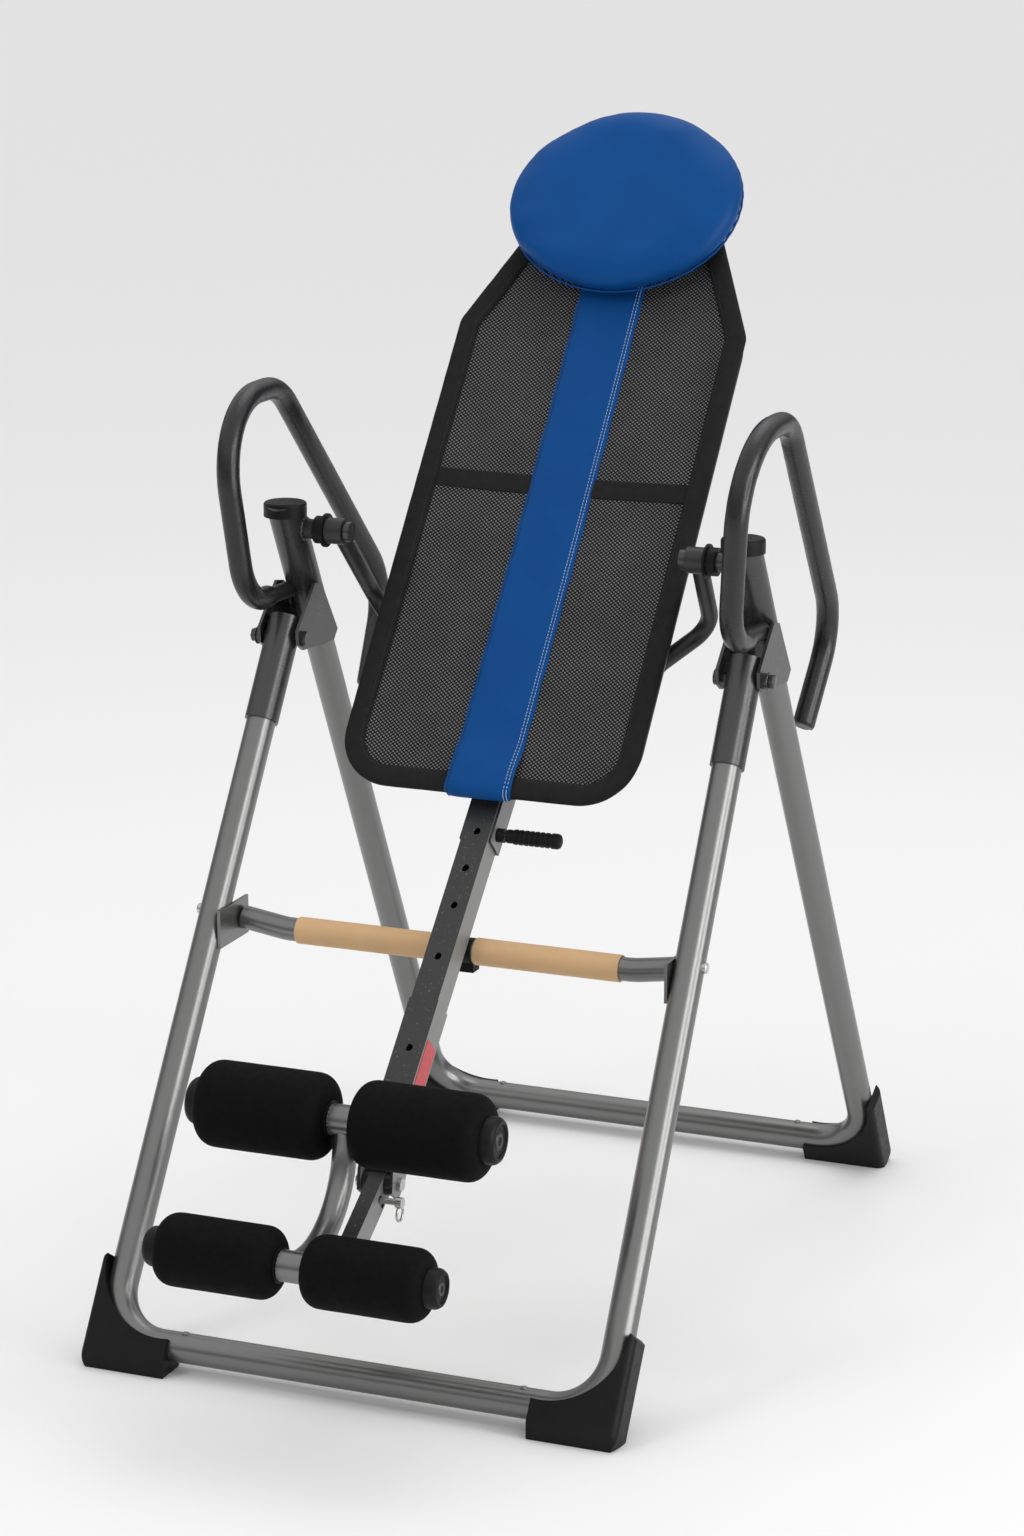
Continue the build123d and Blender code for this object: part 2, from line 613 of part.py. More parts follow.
def head_pad():
    """Oval head pad and the bracket that holds it on the bed's top rail."""
    oval = Pos(0, PAD_CENTRE_U) * Ellipse(PAD_HALF_X, PAD_HALF_U)
    pad = extrude(bed_plane(PAD_BACK) * oval, PAD_THICK)
    nodes["head_pad"] = fillet(pad.edges(), PAD_EDGE_R)
    board = Pos(0, PAD_CENTRE_U) * Ellipse(PAD_HALF_X - 34, PAD_HALF_U - 34)
    nodes["head_pad_board"] = extrude(bed_plane(BORDER_HALF_T) * board, PAD_BACK - BORDER_HALF_T)


def boom():
    """Boom tube with its holes, lower sleeve, end cheeks, indicator and ankle bolt."""
    inner = BOOM_HALF - BOOM_WALL
    sketch = Rectangle(2 * BOOM_HALF, 2 * BOOM_HALF) - Rectangle(2 * inner, 2 * inner)
    tube = extrude(boom_plane(BOOM_TOP) * sketch, BOOM_END - BOOM_TOP)
    for s in INDEX_HOLES + [LOWER_HOLE]:
        tube = tube - rod(boom_point(0, s, 5), boom_point(0, s, 40), HOLE_R)
    slot_from, slot_to = PIN_S - BOOM_TRAVEL, PIN_S
    slot = slot_solid(slot_from, slot_to, PIN_R + 0.6)
    nodes["boom_tube"] = tube - slot
    sleeve = Rectangle(2 * BOOM_SLEEVE_HALF, 2 * BOOM_SLEEVE_HALF) - Rectangle(2 * BOOM_HALF, 2 * BOOM_HALF)
    sleeve = extrude(boom_plane(BOOM_SLEEVE_TOP) * sleeve, BOOM_SLEEVE_END - BOOM_SLEEVE_TOP)
    nodes["boom_sleeve"] = sleeve - rod(boom_point(0, LOWER_HOLE, 5), boom_point(0, LOWER_HOLE, 40), HOLE_R)
    strip = Rectangle(INDICATOR_T, 2 * BOOM_SLEEVE_HALF - 8)
    strip = Pos(BOOM_SLEEVE_HALF + INDICATOR_T / 2, 0) * strip
    nodes["height_indicator"] = extrude(boom_plane(INDICATOR_FROM) * strip, INDICATOR_TO - INDICATOR_FROM)
    ankle_cheeks()


def slot_solid(s0, s1, radius):
    """A round-ended slot through the boom's right wall."""
    (sy, sz), _ = unit_boom()
    plane = Plane(origin=boom_point(BOOM_HALF + 4, (s0 + s1) / 2), x_dir=(0, sy, sz), z_dir=(-1, 0, 0))
    return extrude(plane * SlotCenterToCenter(s1 - s0, 2 * radius), BOOM_WALL + 8)


def ankle_pivot():
    """(y, z) of the ankle frame's pivot."""
    place = boom_point(0, ANKLE_S, ANKLE_T)
    return place.Y, place.Z


def ankle_cheeks():
    """Two cheeks on the boom's lower end, and the ankle pivot bolt through them."""
    y, z = ankle_pivot()
    outline = [(372, 12), (372, -16), (430, -36), (458, -34), (461, -10), (440, 6), (410, 14)]
    face = make_face(Polyline(*[boom_point(0, s, t) for s, t in outline], close=True))
    cheeks = []
    for x in (BOOM_SLEEVE_HALF, -BOOM_SLEEVE_HALF - PLATE_T):
        cheek = Pos(x, 0, 0) * extrude(face, PLATE_T, dir=(1, 0, 0))
        cheek = cheek - rod_x(x - 2, x + PLATE_T + 2, y, z, ANKLE_BOLT_R)
        cheeks.append(cheek)
    stop_y, stop_z = stop_pin_place(0)
    outer = BOOM_SLEEVE_HALF + PLATE_T
    cheeks[0] = cheeks[0] - rod_x(BOOM_SLEEVE_HALF - 2, outer + 2, stop_y, stop_z, STOP_PIN_R + EYE_GAP)
    nodes["ankle_cheeks"] = Compound(children=cheeks)
    shank = rod_x(-outer, outer, y, z, ANKLE_BOLT_R)
    head = rod_x(-outer - 6, -outer, y, z, 9.0)
    nut = rod_x(outer, outer + 6, y, z, 8.0)
    nodes["ankle_bolt"] = shank + head + nut


def stop_pin_place(turn):
    """(y, z) of the ankle stop pin, turned about the ankle pivot by a number of degrees."""
    y, z = ankle_pivot()
    along = atan2(LINK_HEEL[1] - z, LINK_HEEL[0] - y) + radians(turn)
    return y + STOP_PIN_OFFSET * cos(along), z + STOP_PIN_OFFSET * sin(along)


def height_pin():
    """Spring pin that locks the boom, with its rubber grip."""
    y, z = pin_place()
    nodes["height_pin"] = rod_x(BOOM_HALF - BOOM_WALL, GRIP_TO - 6, y, z, PIN_R)
    grip = ring_x(GRIP_FROM, GRIP_TO - 6, y, z, GRIP_R, PIN_R) + rod_x(GRIP_TO - 6, GRIP_TO, y, z, GRIP_R)
    nodes["height_pin_grip"] = fillet(grip.edges().filter_by(GeomType.CIRCLE).sort_by(Axis.X)[-1], 4.0)


def stop_pin():
    """Spring pin that locks the ankle frame, with its pull ring."""
    y, z = stop_pin_place(0)
    outer = BOOM_SLEEVE_HALF + PLATE_T
    shank = rod_x(LINK_HALF_X - 2, outer + 16, y, z, STOP_PIN_R)
    knob = rod_x(outer + 8, outer + 16, y, z, 7.0)
    torus = Pos(outer + 12, y, z - 14) * Rot(0, 90, 0) * Torus(9.0, 1.8)
    nodes["ankle_pin"] = shank + knob + torus


def flat_bar(a, b, depth, half_x):
    """A flat bar in the YZ plane from a to b, with round ends."""
    length = hypot(b[0] - a[0], b[1] - a[1])
    turn = degrees(atan2(b[1] - a[1], b[0] - a[0]))
    sketch = Pos((a[0] + b[0]) / 2, (a[1] + b[1]) / 2) * Rot(0, 0, turn) * SlotCenterToCenter(length, depth)
    return extrude(Plane.YZ * sketch, half_x, both=True)


def ankle_frame():
    """Link, bow and axles that carry the rollers."""
    y, z = ankle_pivot()
    bow_path = FilletPolyline(
        Vector(0, UPPER_AXLE[0], UPPER_AXLE[1]),
        Vector(0, UPPER_AXLE[0], LOWER_AXLE[1]),
        Vector(0, LOWER_AXLE[0], LOWER_AXLE[1]),
        radius=BOW_BEND,
    )
    bow_solid = swept(bow_path, BOW_R)
    bow = swept(bow_path, BOW_R, BOW_R - TUBE_WALL)
    tees = []
    for axle in (UPPER_AXLE, LOWER_AXLE):
        bow = bow - rod_x(-30, 30, *axle, TEE_R)
        tees.append(ring_x(-TEE_HALF, TEE_HALF, *axle, TEE_R, AXLE_R))
    nodes["ankle_bow"] = Compound(children=[bow.solids().sort_by(SortBy.VOLUME)[-1]] + tees)
    weld = (LOWER_AXLE[0] + 46, LOWER_AXLE[1] - 2)
    link = flat_bar((y, z), LINK_HEEL, LINK_DEPTH, LINK_HALF_X) + flat_bar(
        LINK_HEEL, weld, LINK_DEPTH - 6, LINK_HALF_X
    )
    hollow_x = LINK_HALF_X - LINK_WALL
    hollow = flat_bar(LINK_HEEL, weld, LINK_DEPTH - 6 - 2 * LINK_WALL, hollow_x)
    middle = ((y + LINK_HEEL[0]) / 2, (z + LINK_HEEL[1]) / 2)
    hollow = hollow + flat_bar(middle, LINK_HEEL, LINK_DEPTH - 2 * LINK_WALL, hollow_x)
    hub = rod_x(-BOOM_SLEEVE_HALF + 0.3, BOOM_SLEEVE_HALF - 0.3, y, z, ANKLE_HUB_R)
    link = link + hub - hollow - bow_solid - rod_x(-40, 40, y, z, ANKLE_BOLT_R + EYE_GAP)
    for turn in range(-3, ANKLE_SWING + 6, 3):
        link = link - rod_x(LINK_HALF_X - 3, 40, *stop_pin_place(turn), STOP_PIN_R + 1.0)
    nodes["ankle_link"] = link.solids().sort_by(SortBy.VOLUME)[-1]
    axles = []
    for axle, end in ((UPPER_AXLE, UPPER_FOAM_END), (LOWER_AXLE, LOWER_FOAM_END)):
        half = end + CAP_LEN - 4
        axles.append(ring_x(-half, half, *axle, AXLE_R, AXLE_R - 3))
    nodes["roller_axles"] = Compound(children=axles)


def roller(axle, foam_r, end, side):
    """One foam roller and its plastic hub, turning on an axle."""
    y, z = axle
    cap_r = foam_r * 0.53
    start = FOAM_START - 2.0
    core = rod_x(side * start, side * end, y, z, CORE_R)
    flange = rod_x(side * start, side * FOAM_START, y, z, FLANGE_R)
    cap = rod_x(side * end, side * (end + CAP_LEN), y, z, cap_r)
    rim = cap.edges().filter_by(GeomType.CIRCLE).sort_by(lambda e: abs(e.center().X))[-1]
    cap = fillet(rim, 4.0)
    bore = rod_x(side * (start - 1), side * (end + CAP_LEN - 3), y, z, AXLE_R + EYE_GAP)
    hub = core + flange + cap - bore
    foam = rod_x(side * FOAM_START, side * end, y, z, foam_r)
    foam = fillet(foam.edges().filter_by(GeomType.CIRCLE), FOAM_ROUND)
    foam = foam - rod_x(side * (FOAM_START - 5), side * (end + 5), y, z, CORE_R)
    return hub, foam


def rollers():
    """Two pairs of foam rollers."""
    pairs = (
        ("upper", UPPER_AXLE, UPPER_FOAM_R, UPPER_FOAM_END),
        ("lower", LOWER_AXLE, LOWER_FOAM_R, LOWER_FOAM_END),
    )
    for name, axle, foam_r, end in pairs:
        for side in SIDES:
            hub, foam = roller(axle, foam_r, end, side)
            nodes["%s_roller_hub_%s" % (name, SIDE_NAME[side])] = hub
            nodes["%s_roller_foam_%s" % (name, SIDE_NAME[side])] = foam


def main():
    """Builds every sub-part and writes one STEP file for each node."""
    rear_frame()
    handles()
    front_frame()
    backrest()
    bed_frame()
    head_pad()
    boom()
    height_pin()
    stop_pin()
    ankle_frame()
    rollers()
    os.makedirs("parts", exist_ok=True)
    for name, shape in nodes.items():
        export_step(shape, "parts/%s.step" % name)
    whole = Compound(children=[s for shape in nodes.values() for s in shape.solids()])
    box = whole.bounding_box()
    print(len(nodes), "nodes", box.min, box.max)
    print("ankle pivot", ankle_pivot(), "height pin", pin_place())


main()
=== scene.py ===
"""Looks of an inversion table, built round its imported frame. Metres, +X right, +Y back, +Z up."""

import json
import logging
import math
import random
from dataclasses import dataclass, field
from enum import Enum

import bpy
import numpy as np
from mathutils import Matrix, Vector


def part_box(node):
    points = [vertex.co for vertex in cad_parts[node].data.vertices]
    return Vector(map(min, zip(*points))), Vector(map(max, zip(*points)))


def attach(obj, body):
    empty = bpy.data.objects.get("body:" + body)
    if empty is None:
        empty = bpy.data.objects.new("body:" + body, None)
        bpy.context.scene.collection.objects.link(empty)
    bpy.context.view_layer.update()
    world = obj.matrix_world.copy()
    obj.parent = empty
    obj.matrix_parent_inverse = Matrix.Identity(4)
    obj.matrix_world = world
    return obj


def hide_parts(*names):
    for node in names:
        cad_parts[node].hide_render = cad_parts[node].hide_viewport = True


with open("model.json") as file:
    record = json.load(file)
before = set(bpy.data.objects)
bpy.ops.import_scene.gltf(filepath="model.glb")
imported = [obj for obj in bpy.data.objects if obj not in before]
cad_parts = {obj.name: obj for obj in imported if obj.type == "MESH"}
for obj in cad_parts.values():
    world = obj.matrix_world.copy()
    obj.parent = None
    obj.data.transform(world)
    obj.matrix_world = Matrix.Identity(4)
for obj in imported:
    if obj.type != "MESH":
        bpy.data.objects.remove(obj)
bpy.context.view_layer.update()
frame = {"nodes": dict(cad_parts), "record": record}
LOG = logging.getLogger("inversion_table")


# --------------------------------------------------------------------------- materials


class Space(Enum):
    """Where a pattern takes its coordinates from."""

    OBJECT = "Object"
    NORMAL = "Normal"
    UV = "UV"


class Graph:
    """A material's node tree with short methods for the nodes that the finishes share."""

    def __init__(self, name: str) -> None:
        """Starts a material with one Principled shader.

        Args:
            name: the material's name.
        """
        self.material = bpy.data.materials.new(name)
        self.material.use_nodes = True
        self.tree = self.material.node_tree
        self.shader = self.tree.nodes["Principled BSDF"]

    def put(self, kind: str, **inputs: object) -> bpy.types.Node:
        """Adds a node and sets or links its inputs, given by name with _ for a space.

        Args:
            kind: the node's type.
            inputs: values, or sockets to link.

        Returns:
            The new node.
        """
        node = self.tree.nodes.new(kind)
        for key, value in inputs.items():
            self.feed(node.inputs[key.replace("_", " ")], value)
        return node

    def feed(self, socket: bpy.types.NodeSocket, value: object) -> None:
        """Links value to socket when it is a socket, and sets it otherwise."""
        if isinstance(value, bpy.types.NodeSocket):
            self.tree.links.new(value, socket)
        else:
            socket.default_value = value

    def coordinate(self, space: Space) -> bpy.types.NodeSocket:
        """The chosen coordinates."""
        return self.put("ShaderNodeTexCoord").outputs[space.value]

    def stretched(self, source: bpy.types.NodeSocket, scale: tuple) -> bpy.types.NodeSocket:
        """Coordinates scaled along each axis.

        Args:
            source: the coordinates.
            scale: a factor for each axis.

        Returns:
            The scaled coordinates.
        """
        node = self.put("ShaderNodeMapping", Vector=source)
        node.inputs["Scale"].default_value = scale
        return node.outputs[0]

    def noise(self, scale: float, detail: float = 3.0, vector: object = None) -> bpy.types.NodeSocket:
        """Noise over the piece.

        Args:
            scale: features in a metre.
            detail: how many finer layers it has.
            vector: its coordinates, or None for the object's own.

        Returns:
            The noise, about 0 to 1.
        """
        if vector is None:
            vector = self.coordinate(Space.OBJECT)
        return self.put("ShaderNodeTexNoise", Vector=vector, Scale=scale, Detail=detail).outputs["Fac"]

    def cells(self, scale: float) -> bpy.types.NodeSocket:
        """Distance to the nearest of scattered points, as in leather grain.

        Args:
            scale: points in a metre.

        Returns:
            The distance.
        """
        vector = self.coordinate(Space.OBJECT)
        return self.put("ShaderNodeTexVoronoi", Vector=vector, Scale=scale).outputs["Distance"]

    def sum(self, kind: str, a: object, b: object = 0.5) -> bpy.types.NodeSocket:
        """A Math node.

        Args:
            kind: the node's operation.
            a: the first value or socket.
            b: the second, which one-sided operations ignore.

        Returns:
            The result.
        """
        node = self.tree.nodes.new("ShaderNodeMath")
        node.operation = kind
        self.feed(node.inputs[0], a)
        self.feed(node.inputs[1], b)
        return node.outputs[0]

    def spread(
        self, value: object, low: float, high: float, to_low: float, to_high: float
    ) -> bpy.types.NodeSocket:
        """Maps a range of a value to another, clamped.

        Args:
            value: the value or socket.
            low: where the range starts.
            high: where it ends.
            to_low: the result at low.
            to_high: the result at high.

        Returns:
            The mapped value.
        """
        node = self.tree.nodes.new("ShaderNodeMapRange")
        for index, item in enumerate((value, low, high, to_low, to_high)):
            self.feed(node.inputs[index], item)
        return node.outputs[0]

    def blend(self, share: object, a: object, b: object) -> bpy.types.NodeSocket:
        """Mixes two colours, given as RGB triples or sockets.

        Args:
            share: how much of b shows, 0 to 1.
            a: the first colour.
            b: the second colour.

        Returns:
            The mixed colour.
        """
        node = self.tree.nodes.new("ShaderNodeMix")
        node.data_type = "RGBA"
        self.feed(node.inputs["Factor"], share)
        for socket, value in ((node.inputs[6], a), (node.inputs[7], b)):
            self.feed(socket, (*value, 1.0) if isinstance(value, tuple) else value)
        return node.outputs[2]

    def bump(
        self, height: object, strength: float, depth: float, under: object = None
    ) -> bpy.types.NodeSocket:
        """A bump, on top of another if one is given.

        Args:
            height: the pattern that rises and falls.
            strength: how much of the bump shows, 0 to 1.
            depth: its height in metres.
            under: the normal of a bump below it.

        Returns:
            The bumped normal.
        """
        node = self.put("ShaderNodeBump", Height=height, Strength=strength, Distance=depth)
        if under is not None:
            self.feed(node.inputs["Normal"], under)
        return node.outputs[0]

    def set(self, **values: object) -> bpy.types.Material:
        """Sets or links the shader's inputs.

        Args:
            values: values or sockets by input name, with _ for a space.

        Returns:
            The finished material.
        """
        for key, value in values.items():
            if isinstance(value, tuple) and len(value) == 3:
                value = (*value, 1.0)
            self.feed(self.shader.inputs[key.replace("_", " ")], value)
        return self.material


@dataclass(frozen=True)
class Paint:
    """Powder coat on steel: fine orange peel, faint mottling and small rubbed marks."""

    name: str
    colour: tuple
    rough: float = 0.42
    metal: float = 0.0
    peel: float = 0.00001
    wear: float = 0.02

    def make(self) -> bpy.types.Material:
        """Builds the material.

        Returns:
            The new material.
        """
        g = Graph(self.name)
        mottle = g.noise(35.0, 4.0)
        rubbed = g.spread(g.noise(420.0, 2.0), 0.66, 0.74, 0.0, self.wear)
        dark = tuple(c * 0.96 for c in self.colour)
        light = tuple(min(1.0, c * 1.04 + 0.001) for c in self.colour)
        worn = tuple(min(1.0, c * 1.5 + 0.03) for c in self.colour)
        colour = g.blend(rubbed, g.blend(mottle, dark, light), worn)
        rough = g.spread(g.noise(90.0, 3.0), 0.3, 0.7, self.rough - 0.02, self.rough + 0.03)
        peel = g.bump(g.noise(1500.0, 2.0), 0.3, self.peel)
        return g.set(Base_Color=colour, Roughness=rough, Normal=peel, Metallic=self.metal, IOR=1.5)


@dataclass(frozen=True)
class BoomPaint:
    """Grey paint with a dark face of painted shade along the front of the boom: faces that do not point along
    X take the dark colour, the faces along X keep the lit grey.
    """

    name: str
    # side is the lit grey of the faces along X; front is painted shade, the dark colour of every other face.
    side: tuple
    front: tuple
    rough: float = 0.36

    def make(self) -> bpy.types.Material:
        """Builds the material; the painted shade is told by each face's own normal, so it holds as the boom
        swings.

        Returns:
            The new material.
        """
        g = Graph(self.name)
        split = g.tree.nodes.new("ShaderNodeSeparateXYZ")
        g.feed(split.inputs[0], g.coordinate(Space.NORMAL))
        # Painted shade: 1 on faces along X, which keep the lit side colour, 0 on the front faces, which are
        # painted dark.
        lit_side_share = g.spread(g.sum("ABSOLUTE", split.outputs[0]), 0.55, 0.62, 0.0, 1.0)
        mottle = g.noise(60.0, 4.0)
        shade = tuple(c * 0.85 for c in self.front)
        front = g.blend(mottle, shade, self.front)
        side = g.blend(mottle, tuple(c * 0.9 for c in self.side), self.side)
        scuff = g.spread(g.noise(300.0, 3.0), 0.64, 0.72, 0.0, 0.35)
        colour = g.blend(scuff, g.blend(lit_side_share, front, side), (0.32, 0.32, 0.32))
        rough = g.spread(g.noise(120.0), 0.3, 0.7, self.rough - 0.05, self.rough + 0.08)
        peel = g.bump(g.noise(1300.0), 0.4, 0.00005)
        return g.set(Base_Color=colour, Roughness=rough, Normal=peel, IOR=1.5)


@dataclass(frozen=True)
class Moulded:
    """Moulded plastic or rubber with a fine pebbled skin."""

    name: str
    colour: tuple
    rough: float = 0.5
    grain: float = 1400.0
    depth: float = 0.00010
    shine: float = 0.22

    def make(self) -> bpy.types.Material:
        """Builds the material.

        Returns:
            The new material.
        """
        g = Graph(self.name)
        light = tuple(min(1.0, c * 1.35 + 0.003) for c in self.colour)
        colour = g.blend(g.noise(55.0, 4.0), self.colour, light)
        rough = g.spread(g.noise(160.0, 3.0), 0.3, 0.7, self.rough - 0.07, self.rough + 0.08)
        skin = g.bump(g.cells(self.grain), 0.5, self.depth)
        return g.set(Base_Color=colour, Roughness=rough, Normal=skin, Specular_IOR_Level=self.shine)


@dataclass(frozen=True)
class FoamSkin:
    """Closed-cell foam: small pits, a soft sheen and slight blotches."""

    name: str
    colour: tuple
    rough: float = 0.8
    pits: float = 900.0
    depth: float = 0.00022
    sheen: float = 0.2
    blotch: float = 1.25
    shine: float = 0.5

    def make(self) -> bpy.types.Material:
        """Builds the material.

        Returns:
            The new material.
        """
        g = Graph(self.name)
        light = tuple(min(1.0, c * self.blotch) for c in self.colour)
        dark = tuple(c / self.blotch for c in self.colour)
        pit = g.spread(g.noise(self.pits, 3.0), 0.58, 0.72, 0.0, 0.4)
        colour = g.blend(pit, g.blend(g.noise(26.0, 4.0), dark, light), dark)
        low = g.bump(g.noise(40.0, 2.0), 0.10, 0.00012)
        skin = g.bump(g.cells(self.pits), 0.55, self.depth, low)
        rough = g.spread(g.noise(120.0), 0.3, 0.7, self.rough - 0.06, min(1.0, self.rough + 0.08))
        return g.set(Base_Color=colour, Roughness=rough, Normal=skin, Sheen_Weight=self.sheen,
                     Specular_IOR_Level=self.shine)


@dataclass(frozen=True)
class Vinyl:
    """Upholstery vinyl with leather grain."""

    name: str
    colour: tuple
    rough: float = 0.42
    grain: float = 750.0
    shine: float = 0.08

    def make(self) -> bpy.types.Material:
        """Builds the material.

        Returns:
            The new material.
        """
        g = Graph(self.name)
        light = tuple(min(1.0, c * 1.12 + 0.002) for c in self.colour)
        dark = tuple(c * 0.88 for c in self.colour)
        colour = g.blend(g.noise(18.0, 4.0), dark, light)
        soft = g.bump(g.noise(45.0, 2.0), 0.25, 0.0006)
        grain = g.bump(g.cells(self.grain), 0.5, 0.00012, soft)
        rough = g.spread(g.noise(240.0, 3.0), 0.3, 0.7, self.rough - 0.06, self.rough + 0.08)
        return g.set(Base_Color=colour, Roughness=rough, Normal=grain, Specular_IOR_Level=self.shine)


@dataclass(frozen=True)
class DiamondMesh:
    """Two-tone spacer mesh: light knots in diagonal rows on black, on the piece's own UV map."""

    name: str
    ground: tuple
    knot: tuple
    pitch_across: float = 0.0062
    pitch_along: float = 0.0052

    def make(self) -> bpy.types.Material:
        """Builds the material; the UV map is in metres across and along the panel.

        Returns:
            The new material.
        """
        g = Graph(self.name)
        split = g.tree.nodes.new("ShaderNodeSeparateXYZ")
        g.feed(split.inputs[0], g.coordinate(Space.UV))
        turn_x = g.sum("MULTIPLY", split.outputs[0], 2 * math.pi / self.pitch_across)
        turn_y = g.sum("MULTIPLY", split.outputs[1], 2 * math.pi / self.pitch_along)
        wave = g.sum("ADD", g.sum("COSINE", turn_x), g.sum("COSINE", turn_y))
        wave = g.sum("ABSOLUTE", wave)
        knot = g.spread(wave, 0.85, 1.40, 0.0, 1.0)
        fade = g.spread(g.noise(14.0, 3.0, g.coordinate(Space.UV)), 0.3, 0.7, 0.75, 1.0)
        colour = g.blend(g.sum("MULTIPLY", knot, fade), self.ground, self.knot)
        weave = g.bump(wave, 0.8, 0.0005)
        rough = g.spread(knot, 0.0, 1.0, 0.85, 0.6)
        return g.set(Base_Color=colour, Roughness=rough, Normal=weave, Specular_IOR_Level=0.15)


@dataclass(frozen=True)
class Webbing:
    """Woven tape or binding: fine ribs across its length, on the piece's own UV map."""

    name: str
    colour: tuple
    rib: float = 0.0012
    rough: float = 0.82

    def make(self) -> bpy.types.Material:
        """Builds the material.

        Returns:
            The new material.
        """
        g = Graph(self.name)
        split = g.tree.nodes.new("ShaderNodeSeparateXYZ")
        g.feed(split.inputs[0], g.coordinate(Space.UV))
        along = g.sum("SINE", g.sum("MULTIPLY", split.outputs[1], 2 * math.pi / self.rib))
        across = g.sum("SINE", g.sum("MULTIPLY", split.outputs[0], 2 * math.pi / (1.6 * self.rib)))
        weave = g.sum("MULTIPLY", along, across)
        light = tuple(c * 1.8 + 0.004 for c in self.colour)
        colour = g.blend(g.spread(weave, -1.0, 1.0, 0.0, 1.0), self.colour, light)
        fuzz = g.bump(g.noise(2200.0, 2.0), 0.3, 0.0002)
        normal = g.bump(weave, 0.5, 0.0002, fuzz)
        rough = g.spread(g.noise(100.0), 0.3, 0.7, self.rough - 0.08, self.rough + 0.1)
        return g.set(Base_Color=colour, Roughness=rough, Normal=normal, Specular_IOR_Level=0.15)


@dataclass(frozen=True)
class Plated:
    """Zinc-plated steel with faint brushing."""

    name: str
    colour: tuple = (0.62, 0.62, 0.61)
    rough: float = 0.25

    def make(self) -> bpy.types.Material:
        """Builds the material.

        Returns:
            The new material.
        """
        g = Graph(self.name)
        streak = g.noise(200.0, 3.0, g.stretched(g.coordinate(Space.OBJECT), (0.2, 1.0, 1.0)))
        colour = g.blend(streak, tuple(c * 0.75 for c in self.colour), self.colour)
        rough = g.spread(streak, 0.3, 0.7, self.rough - 0.08, self.rough + 0.14)
        brushed = g.bump(g.noise(900.0), 0.2, 0.00003)
        return g.set(Base_Color=colour, Metallic=1.0, Roughness=rough, Normal=brushed)


FINISHES = {
    "painted_grey": Paint("grey_powder_coat", (0.205, 0.205, 0.203), 0.30, 0.85),
    "painted_charcoal": Paint("charcoal_powder_coat", (0.068, 0.068, 0.069), 0.28, 0.6),
    "black_metal": Paint("black_powder_coat", (0.018, 0.018, 0.019), 0.40),
    # The boom's dark front face is painted shade; its grey sides are the lit paint.
    "boom_grey": BoomPaint("boom_paint_with_painted_shade", (0.27, 0.27, 0.268), (0.028, 0.028, 0.029)),
    "zinc": Plated("zinc_plate"),
    "black_plastic": Moulded("black_moulded_plastic", (0.0072, 0.0072, 0.0074), 0.42, 1400.0, 0.0001, 0.14),
    "black_foam": FoamSkin("black_foam_skin", (0.011, 0.011, 0.0112), 0.30, 900.0, 0.00002, 0.0, 1.12, 0.5),
    "tan_foam": FoamSkin("tan_foam_skin", (0.66, 0.42, 0.215), 0.62, 800.0, 0.00012, 0.05, 1.08),
    "black_rubber": Moulded("black_rubber", (0.0080, 0.0080, 0.0081), 0.50, 900.0, 0.0001, 0.14),
    "black_mesh": DiamondMesh("diamond_mesh", (0.005, 0.005, 0.0055), (0.205, 0.205, 0.210)),
    "black_binding": Webbing("black_binding_tape", (0.009, 0.009, 0.0095)),
    "blue_vinyl": Vinyl("blue_stripe_vinyl", (0.0030, 0.067, 0.255), 0.50),
    "blue_padding": Vinyl("blue_pad_vinyl", (0.0032, 0.069, 0.265), 0.38),
    "red_strip": Moulded("red_strip_film", (0.55, 0.08, 0.09), 0.35, 1200.0, 0.00003),
}
ROLLER_SKIN = FoamSkin("black_roller_sponge", (0.0036, 0.0036, 0.0037), 0.80, 900.0, 0.00016, 0.0, 1.12, 0.10)
STITCH_THREAD = Webbing("pale_blue_thread", (0.30, 0.40, 0.56), 0.0009)
DARK_THREAD = Webbing("black_thread", (0.03, 0.03, 0.032), 0.0009)
_made: dict[str, bpy.types.Material] = {}


def finish_of(item: object) -> bpy.types.Material:
    """The material of a finish, made once.

    Args:
        item: the finish, or the name of a record slot.

    Returns:
        The material.
    """
    finish = FINISHES[item] if isinstance(item, str) else item
    if finish.name not in _made:
        _made[finish.name] = finish.make()
    return _made[finish.name]


# --------------------------------------------------------------------------- mesh helpers


def rest_all() -> None:
    """Leaves nothing selected, in object mode."""
    if bpy.context.object is not None and bpy.context.object.mode != "OBJECT":
        bpy.ops.object.mode_set(mode="OBJECT")
    bpy.ops.object.select_all(action="DESELECT")


def take(piece: bpy.types.Object) -> bpy.types.Object:
    """Selects one piece alone and makes it active.

    Args:
        piece: the piece.

    Returns:
        The same piece.
    """
    rest_all()
    piece.select_set(True)
    bpy.context.view_layer.objects.active = piece
    return piece


def named(name: str) -> bpy.types.Object:
    """Names the active object and its mesh, and puts its place into its mesh.

    Args:
        name: the piece's name.

    Returns:
        The active object.
    """
    piece = bpy.context.object
    piece.name = name
    piece.data.name = name
    bpy.ops.object.transform_apply(location=True, rotation=True, scale=True)
    return piece


def apply_modifier(piece: bpy.types.Object, kind: str, **settings: object) -> None:
    """Adds a modifier with its settings and applies it.

    Args:
        piece: the piece that it shapes.
        kind: the modifier's type.
        settings: its settings by name.
    """
    take(piece)
    modifier = piece.modifiers.new(kind.lower(), kind)
    for key, value in settings.items():
        setattr(modifier, key, value)
    bpy.ops.object.modifier_apply(modifier=modifier.name)


